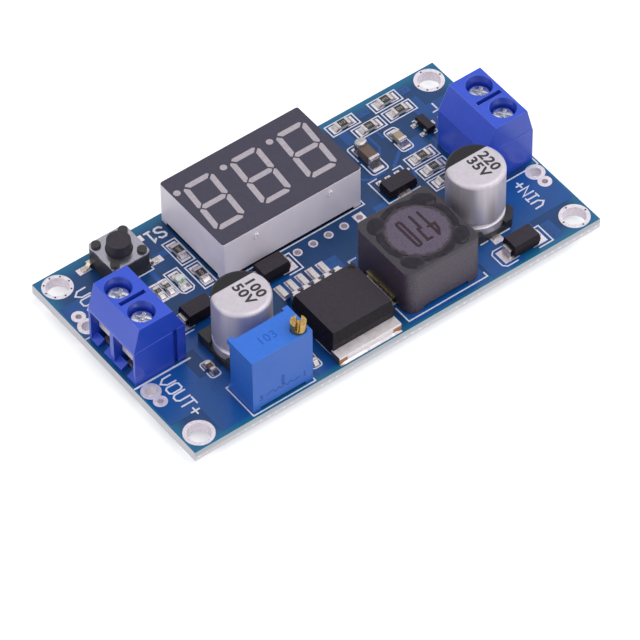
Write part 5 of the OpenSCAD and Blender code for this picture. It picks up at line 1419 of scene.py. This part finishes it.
class CONVERTER_OT_trimmer_print(ConverterPiece, bpy.types.Operator):
    """Print the value code on the trimmer's top and its pin diagram on the front"""
    bl_idname = "converter.trimmer_print"
    bl_label = "Trimmer Print"

    CODE_TALL, CODE_BOLD, CODE_SPOT = 1.3 * MM, 0.012 * MM, (4.2 * MM, -0.2 * MM)
    ZIGZAG, ZIGZAG_HALF, ZIGZAG_RISE, LEAD = 7, 1.6, 0.28, 2.6
    ARROW = ([(0, 0.35), (0, 1.0)], [(-0.22, 0.62), (0, 0.36), (0.22, 0.62)])
    PINS = (("3", (-3.7, -0.4)), ("1", (3.2, -0.4)), ("2", (-0.25, 1.2)))
    LINE, PIN_LINE, PIN_TALL = 0.14 * MM, 0.13 * MM, 0.8 * MM
    LIFT = 2.1 * MM

    def execute(self, context):
        low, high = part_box("trimmer_housing")
        ink = self.prints.ink
        spot = (low.x + self.CODE_SPOT[0], (low.y + high.y) / 2 + self.CODE_SPOT[1], high.z)
        top = place(figures("103", self.CODE_TALL, self.CODE_BOLD, ink), at(spot))
        bends = [(self.ZIGZAG_HALF * (2 * i / self.ZIGZAG - 1), self.ZIGZAG_RISE * (-1) ** i)
                 for i in range(self.ZIGZAG + 1)]
        lines = [strip(run, self.LINE, 0) for run in ([(-self.LEAD, 0), *bends, (self.LEAD, 0)], *self.ARROW)]
        for words, start in self.PINS:
            lines += lettering(words, start, self.PIN_TALL, 0, self.PIN_LINE, 0)
        spot = ((low.x + high.x) / 2, low.y, low.z + self.LIFT)
        diagram = place(print_of("diagram", lines, ink), at(spot, turn=QUARTER, axis="X"))
        # Painted shade: near darkens the print on the trimmer's front, which looks towards -y.
        deep = Finish("deep_blue_ink", (0.014, 0.115, 0.6), specular=0.3).mottle(
            0.2, 0.8, 1.2, (0.4, 0.55), 0.002, 0.01, near=((1, 0.66),))
        hand_over(join("trimmer_print", [top, diagram]), deep)
        return {"FINISHED"}


class CONVERTER_OT_stage(ConverterPiece, bpy.types.Operator):
    """Set the floor, lamps, world and camera"""
    bl_idname = "converter.stage"
    bl_label = "Stage"

    TURN = math.radians(-36.3926)
    LIFT = math.radians(48.724)
    ROLL = math.radians(-0.8386)
    EYE = Vector((-280.2647, -380.6015, 526.4956)) * MM
    FLOOR_SIZE, FLOOR_GLOW = 4, 0.5
    LAMPS = (("key", (0.34, -0.26, 0.55), 0.9), ("fill", (-0.45, 0.1, 0.4), 0.4), ("glint", (0.1, -0.4, 0.6), 0.1))

    def floor(self):
        """A pale floor that keeps the shadow and looks white where it is lit."""
        piece = model("plane", size=self.FLOOR_SIZE, location=(0, 0, CAD_BOX[0].z))
        piece.name = "floor"
        finish = Finish("white_floor", (0.8, 0.8, 0.8))
        finish.set("Base Color", finish.grain(20).mix((0.79, 0.79, 0.795), (0.81, 0.81, 0.815)))
        finish.set("Roughness", 0.9)
        path = finish.add("ShaderNodeLightPath").outputs
        seen = finish.math("MAXIMUM", path["Is Camera Ray"], path["Is Glossy Ray"])
        finish.set("Emission Color", (1.0, 1.0, 1.0))
        finish.set("Emission Strength", seen * self.FLOOR_GLOW)
        piece.data.materials.append(finish.material)

    def world(self, strength):
        """Even light from all round, white where the camera, metal or glass sees it."""
        world = bpy.data.worlds.new("studio_world")
        bpy.context.scene.world = world
        world.use_nodes = True
        tree = world.node_tree
        sky = tree.nodes["Background"]
        path = tree.nodes.new("ShaderNodeLightPath")
        seen = path.outputs["Is Camera Ray"]
        for name in ("Is Glossy Ray", "Is Transmission Ray"):
            either = tree.nodes.new("ShaderNodeMath")
            either.operation = "MAXIMUM"
            tree.links.new(seen, either.inputs[0])
            tree.links.new(path.outputs[name], either.inputs[1])
            seen = either.outputs[0]
        level = tree.nodes.new("ShaderNodeMapRange")
        tree.links.new(seen, level.inputs["Value"])
        level.inputs["To Min"].default_value = strength
        level.inputs["To Max"].default_value = 1.0
        tree.links.new(level.outputs[0], sky.inputs["Strength"])
        sky.inputs["Color"].default_value = (1, 1, 1, 1)

    def lamp(self, name, spot, size, power):
        """A square soft lamp aimed at the board."""
        start_clean()
        bpy.ops.object.light_add(type="AREA", location=spot)
        lamp = bpy.context.object
        lamp.name = name
        lamp.data.size = size
        lamp.data.energy = power
        lamp.rotation_euler = (-Vector(spot)).to_track_quat("-Z", "Y").to_euler()

    def camera(self, lens):
        """The photograph's view."""
        back = Vector((math.sin(self.TURN) * math.cos(self.LIFT), -math.cos(self.TURN) * math.cos(self.LIFT),
                       math.sin(self.LIFT)))
        right = Vector((math.cos(self.TURN), math.sin(self.TURN), 0))
        up = back.cross(right)
        side = right * math.cos(self.ROLL) + up * math.sin(self.ROLL)
        head = -right * math.sin(self.ROLL) + up * math.cos(self.ROLL)
        start_clean()
        bpy.ops.object.camera_add()
        camera = bpy.context.object
        camera.matrix_world = Matrix((side, head, back)).transposed().to_4x4()
        camera.location = self.EYE
        camera.data.lens = lens
        camera.data.sensor_width = 36.0
        camera.data.clip_start, camera.data.clip_end = 0.01, 20.0
        bpy.context.scene.camera = camera

    def execute(self, context):
        studio = context.scene.converter_studio
        context.scene.view_settings.view_transform = "Standard"
        self.floor()
        self.world(studio.sky)
        for name, spot, size in self.LAMPS:
            self.lamp(f"{name}_lamp", spot, size, getattr(studio, name))
        self.camera(studio.lens)
        return {"FINISHED"}


PIECES = (
    CONVERTER_OT_finishes,
    CONVERTER_OT_copper,
    CONVERTER_OT_hole_plating,
    CONVERTER_OT_chip_pads,
    CONVERTER_OT_display_gap_shade,
    CONVERTER_OT_board_print,
    CONVERTER_OT_labels,
    CONVERTER_OT_solder,
    CONVERTER_OT_glue,
    CONVERTER_OT_gate_marks,
    CONVERTER_OT_snap_dome,
    CONVERTER_OT_can_figures,
    CONVERTER_OT_core_figures,
    CONVERTER_OT_chip_figures,
    CONVERTER_OT_trimmer_print,
    CONVERTER_OT_stage,
)


class CONVERTER_PT_dressing(bpy.types.Panel):
    """Lists the module's settings and pieces"""
    bl_label = "Converter Module"
    bl_idname = "CONVERTER_PT_dressing"
    bl_space_type = "VIEW_3D"
    bl_region_type = "UI"
    bl_category = "Converter"

    def draw(self, context):
        scene = context.scene
        for group in (scene.converter_colours, scene.converter_prints, scene.converter_studio):
            box = self.layout.box()
            for name in group.__annotations__:
                box.prop(group, name)
        for piece in PIECES:
            self.layout.operator(piece.bl_idname)


CLASSES = (ConverterColours, ConverterPrints, ConverterStudio, *PIECES, CONVERTER_PT_dressing)


def register():
    """Adds the classes and the scene's settings."""
    for each in CLASSES:
        bpy.utils.register_class(each)
    bpy.types.Scene.converter_colours = PointerProperty(type=ConverterColours)
    bpy.types.Scene.converter_prints = PointerProperty(type=ConverterPrints)
    bpy.types.Scene.converter_studio = PointerProperty(type=ConverterStudio)


def unregister():
    """Takes them away again."""
    del bpy.types.Scene.converter_studio
    del bpy.types.Scene.converter_prints
    del bpy.types.Scene.converter_colours
    for each in reversed(CLASSES):
        bpy.utils.unregister_class(each)


def main():
    """Builds every piece in order."""
    register()
    for piece in PIECES:
        family, name = piece.bl_idname.split(".")
        getattr(getattr(bpy.ops, family), name)()


if __name__ == "__main__":
    main()
